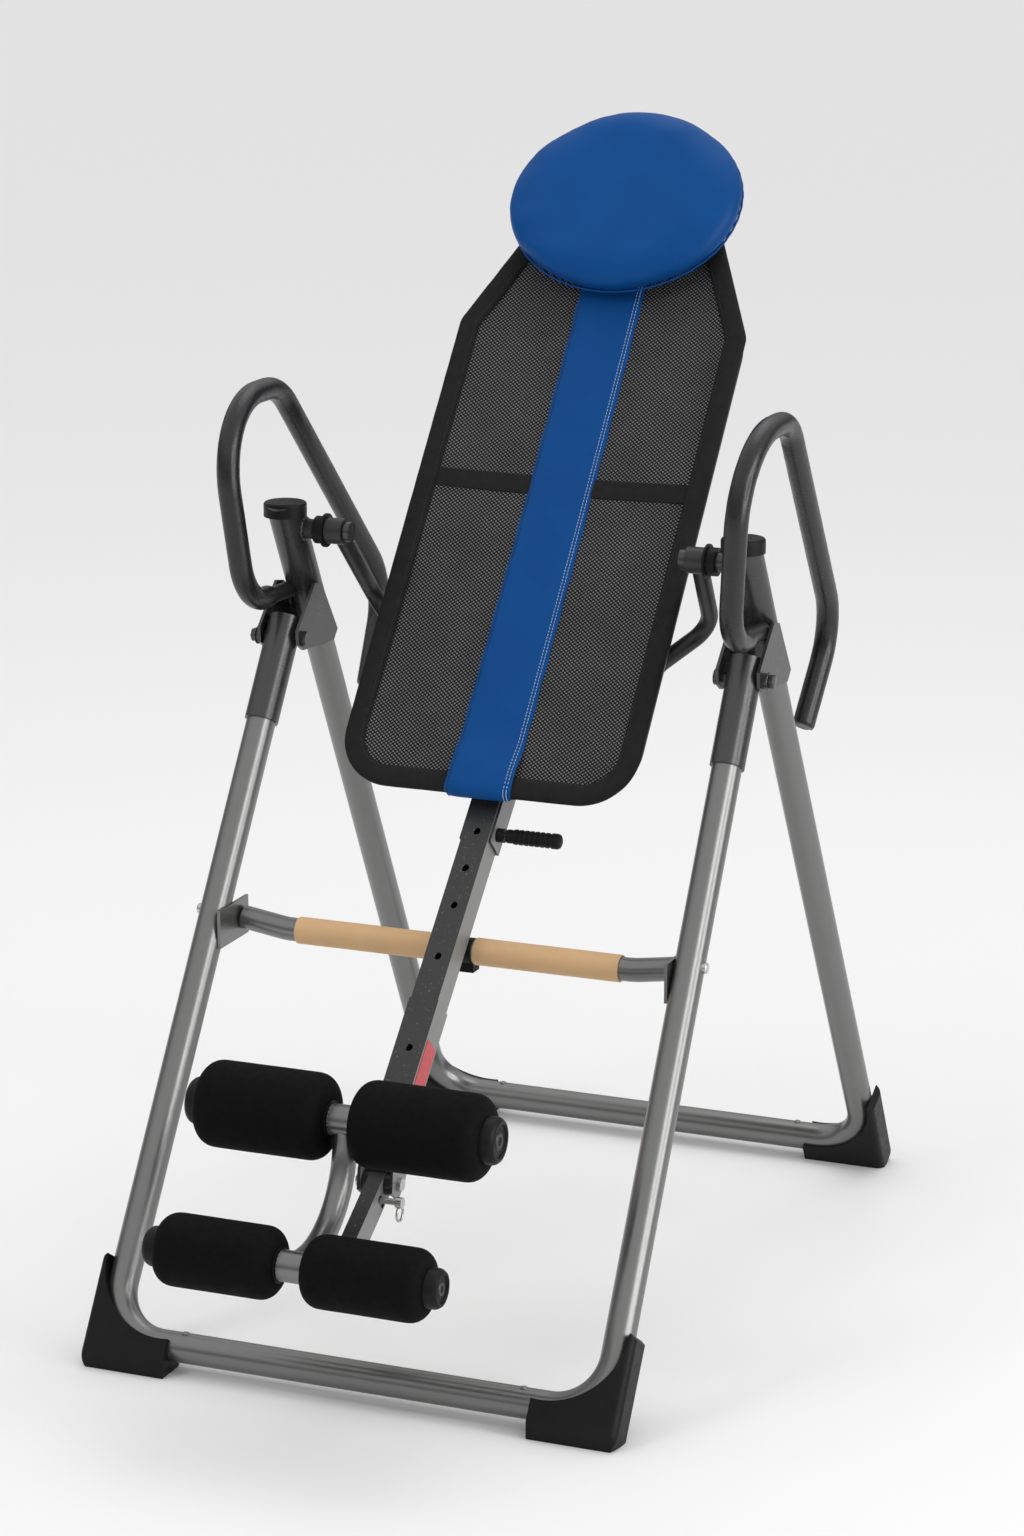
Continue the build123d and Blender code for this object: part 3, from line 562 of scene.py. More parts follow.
def smooth(piece: bpy.types.Object, degrees: float = 40.0) -> bpy.types.Object:
    """Shades a piece smooth except at sharp edges.

    Args:
        piece: the piece.
        degrees: the angle from which an edge stays sharp.

    Returns:
        The same piece.
    """
    take(piece)
    bpy.ops.object.shade_smooth_by_angle(angle=math.radians(degrees))
    return piece


def dress(piece: bpy.types.Object, body: str, slot: str, finish: object = None) -> bpy.types.Object:
    """Gives a piece its material, from its finish or else its slot, and the body it rides on.

    Args:
        piece: the piece.
        body: the body it moves with.
        slot: its slot in the record.
        finish: its finish, or None for the slot's own.

    Returns:
        The same piece.
    """
    piece.data.materials.clear()
    piece.data.materials.append(finish_of(finish or slot))
    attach(piece, body)
    LOG.info("%s rides on %s", piece.name, body)
    return piece


def lofted(name: str, rings: list, closed: bool, uv_step: tuple = (0.0, 0.0)) -> bpy.types.Object:
    """A skin over rings of points, each ring closed on itself.

    Args:
        name: the piece's name.
        rings: lists of points, all of one length.
        closed: True when the last ring joins the first, else both ends are capped.
        uv_step: metres along, and round, that one step of the UV map stands for.

    Returns:
        The new mesh object.
    """
    count, around = len(rings), len(rings[0])
    points = [tuple(p) for ring in rings for p in ring]
    faces = []
    for i in range(count if closed else count - 1):
        a, b = i * around, ((i + 1) % count) * around
        faces += [(a + j, a + (j + 1) % around, b + (j + 1) % around, b + j) for j in range(around)]
    mesh = bpy.data.meshes.new(name)
    if not closed:
        faces += [tuple(range(around))[::-1], tuple((count - 1) * around + j for j in range(around))]
    mesh.from_pydata(points, [], faces)
    uv = mesh.uv_layers.new(name="tape")
    for polygon in mesh.polygons:
        for k, loop in enumerate(polygon.loop_indices):
            index = mesh.loops[loop].vertex_index
            ring, spot = divmod(index, around)
            if ring == 0 and closed and polygon.index // around == count - 1 and k in (2, 3):
                ring = count
            uv.data[loop].uv = (spot * uv_step[1], ring * uv_step[0])
    piece = bpy.data.objects.new(name, mesh)
    bpy.context.scene.collection.objects.link(piece)
    take(piece)
    bpy.ops.object.mode_set(mode="EDIT")
    bpy.ops.mesh.select_all(action="SELECT")
    bpy.ops.mesh.normals_make_consistent(inside=False)
    bpy.ops.object.mode_set(mode="OBJECT")
    return smooth(piece, 60.0)


def soft_copy(name: str, node: str, voxel: float, rounds: int = 6) -> bpy.types.Object:
    """A merged, remeshed and softened copy of a CAD node, which stands for it.

    Args:
        name: the piece's name.
        node: the CAD node it stands for.
        voxel: the remesh size.
        rounds: how many times its corners are smoothed.

    Returns:
        The new mesh object.
    """
    source = frame["nodes"][node]
    piece = bpy.data.objects.new(name, source.data.copy())
    bpy.context.scene.collection.objects.link(piece)
    piece.data.name = name
    take(piece)
    bpy.ops.object.mode_set(mode="EDIT")
    bpy.ops.mesh.select_all(action="SELECT")
    bpy.ops.mesh.remove_doubles(threshold=0.00002)
    bpy.ops.object.mode_set(mode="OBJECT")
    apply_modifier(piece, "REMESH", mode="VOXEL", voxel_size=voxel)
    apply_modifier(piece, "SMOOTH", factor=0.5, iterations=rounds)
    for layer in list(piece.data.uv_layers):
        piece.data.uv_layers.remove(layer)
    bpy.ops.object.shade_smooth()
    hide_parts(node)
    return piece


def dented(piece: bpy.types.Object, size: float, depth: float) -> None:
    """Gives a soft piece shallow uneven dents.

    Args:
        piece: the piece.
        size: about how wide a dent is.
        depth: how deep the deepest is.
    """
    texture = bpy.data.textures.new(piece.name + "_dents", "CLOUDS")
    texture.noise_scale = size
    apply_modifier(piece, "DISPLACE", texture=texture, strength=depth, mid_level=0.5)


def inflated(piece: bpy.types.Object, pressure: float, cap: float) -> None:
    """Swells a closed mesh as stuffed cloth.

    Args:
        piece: the piece.
        pressure: the cloth's inner pressure.
        cap: the furthest that a point may move.
    """
    start = np.array([v.co[:] for v in piece.data.vertices])
    take(piece)
    cloth = piece.modifiers.new("cloth", "CLOTH")
    settings = cloth.settings
    settings.quality = 6
    settings.use_pressure = True
    settings.uniform_pressure_force = pressure
    settings.effector_weights.gravity = 0.0
    settings.tension_stiffness = 12.0
    for step in range(1, 21):
        bpy.context.scene.frame_set(step)
    swollen = piece.evaluated_get(bpy.context.evaluated_depsgraph_get()).data
    moved = np.array([v.co[:] for v in swollen.vertices]) - start
    far = np.linalg.norm(moved, axis=1, keepdims=True)
    moved *= np.minimum(1.0, cap / np.maximum(far, 1e-9))
    piece.modifiers.remove(cloth)
    piece.data.vertices.foreach_set("co", (start + moved).ravel())
    piece.data.update()
    bpy.context.scene.frame_set(1)


def turned_disc(name: str, profile: list, centre: Vector, side: int, steps: int = 48) -> bpy.types.Object:
    """A part turned about an axis along X.

    Args:
        name: the piece's name.
        profile: (distance outwards along X, radius) points, from the axis round to the axis.
        centre: the point on the axis that distances are taken from.
        side: 1 when it points to +X, -1 to -X.
        steps: facets round it.

    Returns:
        The new mesh object.
    """
    rest_all()
    bpy.ops.mesh.primitive_circle_add(vertices=4, radius=0.001)
    piece = bpy.context.object
    mesh = bpy.data.meshes.new(name)
    points = [(centre.x + side * a, centre.y, centre.z + r) for a, r in profile]
    mesh.from_pydata(points, [(i, i + 1) for i in range(len(points) - 1)], [])
    piece.data = mesh
    take(piece)
    bpy.ops.object.mode_set(mode="EDIT")
    bpy.ops.mesh.select_all(action="SELECT")
    bpy.ops.mesh.spin(steps=steps, angle=2 * math.pi, center=centre, axis=(1, 0, 0))
    bpy.ops.mesh.select_all(action="SELECT")
    bpy.ops.mesh.remove_doubles(threshold=0.000005)
    bpy.ops.mesh.normals_make_consistent(inside=False)
    bpy.ops.object.mode_set(mode="OBJECT")
    return smooth(named(name), 35.0)


def middle(node: str) -> Vector:
    """The middle of a CAD node's box."""
    low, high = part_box(node)
    return (low + high) / 2


# --------------------------------------------------------------------------- bed


@dataclass(frozen=True)
class BedPlane:
    """The bed's plane: x across, u up along it, w in front of it."""

    lean: float = math.radians(38.9)
    origin: tuple = (0.0, 0.2065, 0.950)

    def at(self, x: float, u: float, w: float = 0.0) -> Vector:
        """A point of the bed in the frame's axes."""
        s, c = math.sin(self.lean), math.cos(self.lean)
        return Vector((x, self.origin[1] + u * s - w * c, self.origin[2] + u * c + w * s))


BED = BedPlane()


@dataclass
class Outline:
    """The bed's closed outline with its corners rounded, in bed coordinates."""

    half: float = 0.200
    low: float = -0.375
    high: float = 0.500
    shoulder: float = 0.305
    top_half: float = 0.112
    low_radius: float = 0.072
    top_radius: float = 0.040
    shoulder_radius: float = 0.030

    def corners(self) -> list:
        """(x, u, radius) of each corner, anticlockwise."""
        return [
            (-self.half, self.low, self.low_radius),
            (self.half, self.low, self.low_radius),
            (self.half, self.shoulder, self.shoulder_radius),
            (self.top_half, self.high, self.top_radius),
            (-self.top_half, self.high, self.top_radius),
            (-self.half, self.shoulder, self.shoulder_radius),
        ]

    def points(self, step: float) -> list:
        """Points along the rounded outline.

        Args:
            step: about how far apart they are.

        Returns:
            (point, outward direction) pairs, anticlockwise.
        """
        path: list = []
        corners = self.corners()
        count = len(corners)
        for i, (x, u, radius) in enumerate(corners):
            here = Vector((x, u))
            before = (Vector(corners[i - 1][:2]) - here).normalized()
            after = (Vector(corners[(i + 1) % count][:2]) - here).normalized()
            half_turn = before.angle(after) / 2
            reach = radius / math.tan(half_turn)
            centre = here + (before + after).normalized() * (radius / math.sin(half_turn))
            start, end = here + before * reach - centre, here + after * reach - centre
            sweep = math.pi - 2 * half_turn
            arc = max(4, int(radius * sweep / step))
            first = math.atan2(start.y, start.x)
            for k in range(arc + 1):
                angle = first + sweep * k / arc
                path.append(centre + radius * Vector((math.cos(angle), math.sin(angle))))
        filled: list = []
        for a, b in zip(path, path[1:] + path[:1]):
            pieces = max(1, int((b - a).length / step))
            filled += [a.lerp(b, k / pieces) for k in range(pieces)]
        result = []
        for i, p in enumerate(filled):
            along = (filled[(i + 1) % len(filled)] - filled[i - 1]).normalized()
            result.append((p, Vector((along.y, -along.x))))
        return result

    def cut_area(self, inset: float) -> float:
        """Area of a flat cut that stays inside the outline.

        Args:
            inset: How far inside the outline the cut's edge runs, in metres.

        Returns:
            The area in square metres, from the outline alone.
        """
        ring = [p - out * inset for p, out in self.points(0.004)]
        return abs(sum(a.x * b.y - b.x * a.y for a, b in zip(ring, ring[1:] + ring[:1]))) / 2

    def half_width(self, u: float) -> float:
        """Half the outline's width, without the rounding of its upper corners.

        Args:
            u: the height along the bed.

        Returns:
            The half width.
        """
        if u < self.low + self.low_radius:
            drop = self.low + self.low_radius - u
            rest = math.sqrt(max(0.0, self.low_radius**2 - drop**2))
            return self.half - self.low_radius + rest
        if u > self.shoulder:
            share = (u - self.shoulder) / (self.high - self.shoulder)
            return self.half + (self.top_half - self.half) * share
        return self.half


@dataclass
class Backrest:
    """Mesh panel, padded binding, blue centre stripe, side straps and their seams."""

    outline: Outline = field(default_factory=Outline)
    binding: float = 0.026
    binding_thick: float = 0.0155
    sag: float = 0.006
    stripe_half: float = 0.045
    stripe_rise: float = 0.0036
    strap_u: float = 0.070
    strap_half: float = 0.0135
    strap_tuck: float = 0.004
    strap_thick: float = 0.0014
    body: str = "bed"

    def build(self) -> None:
        """Builds every part of the backrest."""
        self.panel()
        self.border()
        self.stripe()
        self.straps()
        self.seams()

    def depth(self, x: float, u: float) -> float:
        """How far the panel sags behind its plane at a point.

        Args:
            x: the point's place across the bed.
            u: its place up the bed.

        Returns:
            Its distance in front of the plane, 0 or less.
        """
        across = 1 - (x / self.outline.half) ** 2
        middle_u = (self.outline.low + self.outline.high) / 2
        reach = (self.outline.high - self.outline.low) / 2
        along = 1 - ((u - middle_u) / reach) ** 2
        return -self.sag * max(0.0, across) * max(0.0, along)

    def panel(self) -> None:
        """The stretched mesh sheet, with a UV map in metres."""
        inset = self.binding * 0.6
        low, high = self.outline.low + inset, self.outline.high - inset
        rows, columns = 110, 52
        rng = random.Random(4)
        waves = [(rng.uniform(6, 16), rng.uniform(4, 12), rng.uniform(0, 6.28)) for _ in range(7)]
        points, uvs, faces = [], [], []
        for i in range(rows + 1):
            u = low + (high - low) * i / rows
            half = self.outline.half_width(min(max(u, low), high)) - inset
            for j in range(columns + 1):
                x = half * (2 * j / columns - 1)
                edge = abs(x) / max(half, 1e-6)
                ripple = sum(math.sin(a * 6 * x + b * 2 * u + c) for a, b, c in waves) * 0.00035 * edge**2
                points.append(BED.at(x, u, self.depth(x, u) + ripple))
                uvs.append((x, u))
        width = columns + 1
        for i in range(rows):
            for j in range(columns):
                a = i * width + j
                faces.append((a, a + 1, a + width + 1, a + width))
        mesh = bpy.data.meshes.new("backrest_mesh_panel")
        mesh.from_pydata([tuple(p) for p in points], [], faces)
        layer = mesh.uv_layers.new(name="panel")
        for loop in mesh.loops:
            layer.data[loop.index].uv = uvs[loop.vertex_index]
        piece = bpy.data.objects.new("backrest_mesh_panel", mesh)
        bpy.context.scene.collection.objects.link(piece)
        take(piece)
        bpy.ops.object.shade_smooth()
        apply_modifier(piece, "SOLIDIFY", thickness=0.0014, offset=0.0)
        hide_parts("backrest_mesh")
        dress(piece, self.body, "black_mesh")
        cut = self.outline.cut_area(inset)

    def border(self) -> None:
        """The padded binding that wraps the rail, with the pull of its seam."""
        rng = random.Random(11)
        phases = [rng.uniform(0, 6.28) for _ in range(4)]
        rings = []
        step, around = 0.006, 20
        for i, (p, out) in enumerate(self.outline.points(step)):
            travel = i * step
            pucker = 0.0005 * sum(math.sin(travel * (90 + 37 * k) + phases[k]) for k in range(4))
            half_w = self.binding / 2 + 0.001
            half_t = self.binding_thick / 2 + pucker * 0.5
            ring = []
            for j in range(around):
                angle = 2 * math.pi * j / around
                cos, sin = math.cos(angle), math.sin(angle)
                across = math.copysign(abs(cos) ** 0.8, cos) * half_w
                inner = 0.5 * (1 - math.copysign(1, cos) * abs(cos) ** 1.5)
                lift = math.copysign(abs(sin) ** 0.75, sin) * half_t * (1 - 0.28 * inner)
                spot = p + out * (across - self.binding / 2)
                ring.append(BED.at(spot.x, spot.y, lift))
            rings.append(ring)
        piece = lofted("backrest_binding", rings, True, (step, 0.0042))
        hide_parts("backrest_border")
        dress(piece, self.body, "black_binding")

    def stripe_path(self) -> list:
        """The stripe's way down the front of the bed and round under its bottom edge.

        Returns:
            (u, w, out_u, out_w) of each point, where out is the way that the stripe faces.
        """
        low = self.outline.low
        front = self.binding_thick / 2 + 0.0008
        path = []
        top = self.outline.high - 0.02
        count = 90
        start = low + 0.018
        for i in range(count + 1):
            u = top + (start - top) * i / count
            onto = min(1.0, max(0.0, (low + 0.075 - u) / 0.045))
            w = (self.depth(0.0, u) + 0.0012) * (1 - onto) + front * onto
            path.append((u, w, 0.0, 1.0))
        radius = front + 0.0006
        centre_u = low + radius - 0.0012
        for k in range(1, 13):
            angle = math.pi * k / 12
            sin, cos = math.sin(angle), math.cos(angle)
            path.append((centre_u - radius * sin, radius * cos, -sin, cos))
        for k in range(1, 7):
            path.append((centre_u + 0.007 * k, -radius - 0.0004, 0.0, -1.0))
        return path

    def stripe(self) -> None:
        """The vinyl stripe, lightly padded, with rolled edges."""
        rings = []
        for index, (u, w, out_u, out_w) in enumerate(self.stripe_path()):
            ring = []
            half = self.stripe_half + 0.0006 * math.sin(index * 0.9)
            samples = 16
            for j in range(samples + 1):
                t = 2 * j / samples - 1
                rise = self.stripe_rise * (1 - abs(t) ** 6) ** 0.5 + 0.0004
                ring.append((half * t, rise))
            for j in range(samples - 1, 0, -1):
                ring.append((half * (2 * j / samples - 1), -0.0003))
            rings.append([BED.at(x, u + out_u * r, w + out_w * r) for x, r in ring])
        piece = lofted("backrest_stripe_vinyl", rings, False, (0.009, 0.006))
        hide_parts("backrest_stripe")
        dress(piece, self.body, "blue_vinyl")

    def straps(self) -> None:
        """A woven strap across each half of the panel."""
        shape = [(-1, 0), (-0.96, 1), (-0.6, 1.15), (0, 1.2), (0.6, 1.15), (0.96, 1), (1, 0), (0, -0.2)]
        inner = self.stripe_half - self.strap_tuck
        outer = self.outline.half - self.binding * 0.7
        count = 26
        for side, name in ((-1, "left"), (1, "right")):
            rings = []
            for i in range(count + 1):
                x = side * (inner + (outer - inner) * i / count)
                base = self.depth(x, self.strap_u) + 0.0008
                spots = [(self.strap_u + self.strap_half * a, base + self.strap_thick * b) for a, b in shape]
                rings.append([BED.at(x, u, w) for u, w in spots])
            piece = lofted("backrest_strap_" + name, rings, False, (0.005, 0.0035))
            dress(piece, self.body, "black_binding")
            if side < 0:
                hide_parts("backrest_straps")

    def stitch_row(
        self, name: str, spots: list, length: float, radius: float, finish: object, slot: str
    ) -> None:
        """A row of sewn stitches.

        Args:
            name: the piece's name.
            spots: (middle, direction, outward) of each stitch.
            length: a stitch's length.
            radius: the thread's radius.
            finish: the thread's finish.
            slot: the record slot.
        """
        points, faces = [], []
        start, end = [(-0.5, 0.25, -0.9), (-0.42, 0.85, 0.1)], [(0.42, 0.85, 0.1), (0.5, 0.25, -0.9)]
        profile = [*start, (0.0, 1.0, 0.55), *end]
        around = 6
        for spot, along, out in spots:
            side = along.cross(out).normalized()
            base = len(points)
            for t, share, lift in profile:
                for j in range(around):
                    angle = 2 * math.pi * j / around
                    offset = side * math.cos(angle) + out * math.sin(angle)
                    place = spot + along * (t * length) + offset * radius * share + out * radius * lift
                    points.append(tuple(place))
            for i in range(len(profile) - 1):
                for j in range(around):
                    a, b = base + i * around, base + (i + 1) * around
                    k = (j + 1) % around
                    faces.append((a + j, b + j, b + k, a + k))
            faces.append(tuple(base + j for j in range(around)))
            last = base + (len(profile) - 1) * around
            faces.append(tuple(last + j for j in range(around))[::-1])
        mesh = bpy.data.meshes.new(name)
        mesh.from_pydata(points, [], faces)
        mesh.uv_layers.new(name="thread")
        piece = bpy.data.objects.new(name, mesh)
        bpy.context.scene.collection.objects.link(piece)
        take(piece)
        bpy.ops.object.mode_set(mode="EDIT")
        bpy.ops.mesh.select_all(action="SELECT")
        bpy.ops.mesh.normals_make_consistent(inside=False)
        bpy.ops.object.mode_set(mode="OBJECT")
        smooth(piece, 60.0)
        dress(piece, self.body, slot, finish)

    def seams(self) -> None:
        """Stitch rows down both edges of the stripe and round the binding."""
        path = self.stripe_path()
        for side, name, finish in ((-1, "left", DARK_THREAD), (1, "right", STITCH_THREAD)):
            for row, inset in enumerate((0.0045, 0.0085) if side > 0 else (0.0045,)):
                spots = []
                for (u0, w0, ou, ow), (u1, w1, _, _) in zip(path[2:-6], path[3:-5]):
                    x = side * (self.stripe_half - inset)
                    rise = self.stripe_rise * (1 - (1 - inset / self.stripe_half) ** 6) ** 0.5 + 0.0005
                    a = BED.at(x, u0 + ou * rise, w0 + ow * rise)
                    b = BED.at(x, u1 + ou * rise, w1 + ow * rise)
                    out = (BED.at(x, u0 + ou, w0 + ow) - BED.at(x, u0, w0)).normalized()
                    along = (b - a).normalized()
                    if (b - a).length > 0.006:
                        spots.append((a.lerp(b, 0.25), along, out))
                        spots.append((a.lerp(b, 0.75), along, out))
                    else:
                        spots.append((a.lerp(b, 0.5), along, out))
                title = "stripe_stitches_%s_%d" % (name, row + 1)
                self.stitch_row(title, spots, 0.0034, 0.00055, finish, "blue_vinyl")
        spots = []
        for p, out in self.outline.points(0.0046):
            spot = p - out * (self.binding - 0.0035)
            along = Vector((-out.y, out.x))
            if abs(spot.x) < self.stripe_half + 0.006:
                continue
            here = BED.at(spot.x, spot.y, self.binding_thick * 0.31)
            way = (BED.at(spot.x + along.x, spot.y + along.y, 0) - BED.at(spot.x, spot.y, 0)).normalized()
            front = (BED.at(0, 0, 1) - BED.at(0, 0, 0)).normalized()
            spots.append((here, way, front))
        self.stitch_row("binding_stitches", spots, 0.0032, 0.0005, DARK_THREAD, "black_binding")


@dataclass
class HeadPad:
    """Oval stuffed pad with a seam near its back edge."""

    centre_u: float = 0.481
    half_x: float = 0.160
    half_u: float = 0.135
    back: float = 0.012
    thick: float = 0.050
    shrink: float = 0.004

    def build(self) -> None:
        """Builds the stuffed oval and its piping."""
        rest_all()
        middle_w = self.back + self.thick / 2
        bpy.ops.mesh.primitive_cylinder_add(
            vertices=96, radius=1.0, depth=self.thick - self.shrink, end_fill_type="NGON",
            location=BED.at(0, self.centre_u, middle_w), rotation=(math.pi / 2 - BED.lean, 0, 0),
            scale=(self.half_x - self.shrink, self.half_u - self.shrink, 1.0),
        )
        piece = named("head_pad_cushion")
        apply_modifier(piece, "BEVEL", width=0.017, segments=6, limit_method="ANGLE")
        apply_modifier(piece, "REMESH", mode="VOXEL", voxel_size=0.0045)
        inflated(piece, 4.0, 0.006)
        self.fit(piece)
        apply_modifier(piece, "SMOOTH", factor=0.5, iterations=60)
        self.fit(piece)
        apply_modifier(piece, "SUBSURF", levels=1, render_levels=1)
        dented(piece, 0.12, 0.0007)
        take(piece)
        bpy.ops.object.shade_smooth()
        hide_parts("head_pad")
        dress(piece, "bed", "blue_padding")
        self.piping()

    def fit(self, piece: bpy.types.Object) -> None:
        """Brings the swollen pad back to its own width and length, and keeps its back flat.

        Args:
            piece: the pad.
        """
        front = BED.at(0, 0, 1) - BED.at(0, 0, 0)
        up = BED.at(0, 1, 0) - BED.at(0, 0, 0)
        centre = BED.at(0, self.centre_u, self.back)
        offsets = [v.co - centre for v in piece.data.vertices]
        local = [(offset.x, offset.dot(up), offset.dot(front)) for offset in offsets]
        grow_x = self.half_x / max(abs(p[0]) for p in local)
        grow_u = self.half_u / max(abs(p[1]) for p in local)
        top = max(p[2] for p in local)
        for vertex, (x, u, w) in zip(piece.data.vertices, local):
            rise = max(0.0, w) * min(1.0, (self.thick + 0.002) / top)
            vertex.co = centre + Vector((x * grow_x, 0, 0)) + up * (u * grow_u) + front * rise
        piece.data.update()

    def piping(self) -> None:
        """A thin piped seam round the pad, near its back."""
        rings = []
        steps, around, radius = 160, 8, 0.0016
        w = self.back + 0.0135
        for i in range(steps):
            angle = 2 * math.pi * i / steps
            cos, sin = math.cos(angle), math.sin(angle)
            out = Vector((cos / self.half_x, sin / self.half_u)).normalized()
            wave = 0.0003 * math.sin(angle * 46)
            spot = Vector((cos * (self.half_x - 0.001), sin * (self.half_u - 0.001)))
            ring = []
            for j in range(around):
                turn = 2 * math.pi * j / around
                q = spot + out * (radius * math.cos(turn) + wave)
                ring.append(BED.at(q.x, self.centre_u + q.y, w + radius * math.sin(turn)))
            rings.append(ring)
        piece = lofted("head_pad_piping", rings, True, (0.006, 0.001))
        dress(piece, "bed", "blue_padding")


# --------------------------------------------------------------------------- foam and rollers


@dataclass
class FoamSleeve:
    """A foam sleeve that stands for a CAD node."""

    node: str
    body: str
    slot: str
    voxel: float = 0.0028
    dent: float = 0.0008
    fill: float = 0.95
    finish: object = None

    def build(self) -> None:
        """Builds the sleeve."""
        piece = soft_copy(self.node + "_sleeve", self.node, self.voxel)
        dented(piece, 0.06, self.dent)
        take(piece)
        bpy.ops.object.shade_smooth()
        dress(piece, self.body, self.slot, self.finish)


@dataclass
class RollerCap:
    """Turned end cap of a roller with a rim, a recess and a socket bolt."""

    pair: str
    side: int
    reach: float
    radius: float

    def build(self) -> None:
        """Builds the cap's rim and its socket bolt."""
        name = "%s_roller_%s" % (self.pair, "right" if self.side > 0 else "left")
        hub = name.replace("_roller_", "_roller_hub_")
        centre = middle(hub)
        centre.x = 0.0
        r, x = self.radius, self.reach
        profile = [
            (x - 0.004, 0.0), (x - 0.004, r * 0.62), (x - 0.001, r * 0.66), (x + 0.0018, r * 0.72),
            (x + 0.0026, r * 0.80), (x + 0.0018, r * 0.90), (x - 0.0010, r * 0.985), (x - 0.004, r + 0.0008),
            (x - 0.0135, r + 0.0010), (x - 0.0145, r + 0.0002), (x - 0.0150, r * 0.9), (x - 0.0150, 0.0),
        ]
        rim = turned_disc(name + "_cap_rim", profile, centre, self.side)
        dress(rim, name, "black_plastic")
        bolt_r = r * 0.40
        bolt = [
            (x - 0.0005, 0.0), (x - 0.0005, bolt_r * 0.42), (x + 0.0012, bolt_r * 0.5),
            (x + 0.0014, bolt_r * 0.85), (x + 0.0002, bolt_r), (x - 0.0045, bolt_r), (x - 0.0045, 0.0),
        ]
        socket = turned_disc(name + "_cap_bolt", bolt, centre, self.side, 24)
        dress(socket, name, "black_metal")


# --------------------------------------------------------------------------- hardware


@dataclass
class HexHead:
    """A hex bolt head or nut with its washer, on an axis along X."""

    name: str
    body: str
    place: tuple
    side: int
    across: float = 0.016
    height: float = 0.007
    washer: float = 0.012
    slot: str = "painted_charcoal"

    def build(self) -> None:
        """Builds the head with chamfered corners, and its washer."""
        rest_all()
        x, y, z = self.place
        bpy.ops.mesh.primitive_cylinder_add(
            vertices=6, radius=self.across / math.sqrt(3), depth=self.height,
            location=(x + self.side * (0.0015 + self.height / 2), y, z), rotation=(0, math.pi / 2, 0),
        )
        head = named(self.name)
        apply_modifier(head, "BEVEL", width=0.0010, segments=3, limit_method="ANGLE")
        edge = self.washer - 0.0006
        profile = [(0.0, 0.0), (0.0, self.washer), (0.0009, self.washer), (0.0015, edge), (0.0015, 0.0)]
        ring = turned_disc(self.name + "_washer", profile, Vector((x, y, z)), self.side, 32)
        for piece in (smooth(head, 35.0), ring):
            dress(piece, self.body, self.slot)


@dataclass
class WeldBead:
    """A rippled weld bead all the way round a joint."""

    name: str
    body: str
    centre: Vector
    axis: Vector
    radius: float
    slot: str = "painted_charcoal"
    bead: float = 0.0022

    def build(self) -> None:
        """Builds the bead as a ring of overlapping ripples."""
        axis = self.axis.normalized()
        side = axis.orthogonal().normalized()
        up = axis.cross(side)
        rng = random.Random(len(self.name))
        steps = max(24, int(2 * math.pi * self.radius / 0.0016))
        rings = []
        for i in range(steps):
            angle = 2 * math.pi * i / steps
            out = side * math.cos(angle) + up * math.sin(angle)
            ripple = self.bead * (1 + 0.22 * math.sin(i * 1.9) + rng.uniform(-0.08, 0.08))
            centre = self.centre + out * self.radius
            ring = []
            for j in range(8):
                turn = 2 * math.pi * j / 8
                ring.append(centre + (out * math.cos(turn) + axis * math.sin(turn)) * ripple)
            rings.append(ring)
        piece = lofted(self.name, rings, True, (0.0016, 0.001))
        dress(piece, self.body, self.slot)


@dataclass
class PinGrip:
    """Ribbed rubber grip of the height pin, and its collar."""

    ribs: int = 7

    def build(self) -> None:
        """Builds the grip and the collar."""
        low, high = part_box("height_pin_grip")
        centre = (low + high) / 2
        x0, x1, r = low.x, high.x, (high.z - low.z) / 2
        profile = [(x0, 0.0), (x0, r * 0.7), (x0 + 0.001, r * 0.86), (x0 + 0.004, r * 0.9)]
        start, end = x0 + 0.010, x1 - 0.014
        for k in range(self.ribs):
            a = start + (end - start) * k / self.ribs
            b = start + (end - start) * (k + 0.62) / self.ribs
            profile += [(a, r * 0.84), (a + 0.0008, r * 0.97), (b, r * 0.99), (b + 0.0008, r * 0.84)]
        profile += [(end, r * 0.86), (end + 0.002, r), (x1 - 0.005, r)]
        profile += [(x1 - 0.002, r * 0.88), (x1 - 0.0004, r * 0.6), (x1, 0.0)]
        centre.x = 0.0
        grip = turned_disc("height_pin_ribbed_grip", profile, centre, 1)
        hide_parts("height_pin_grip")
        dress(grip, "height_pin", "black_rubber")


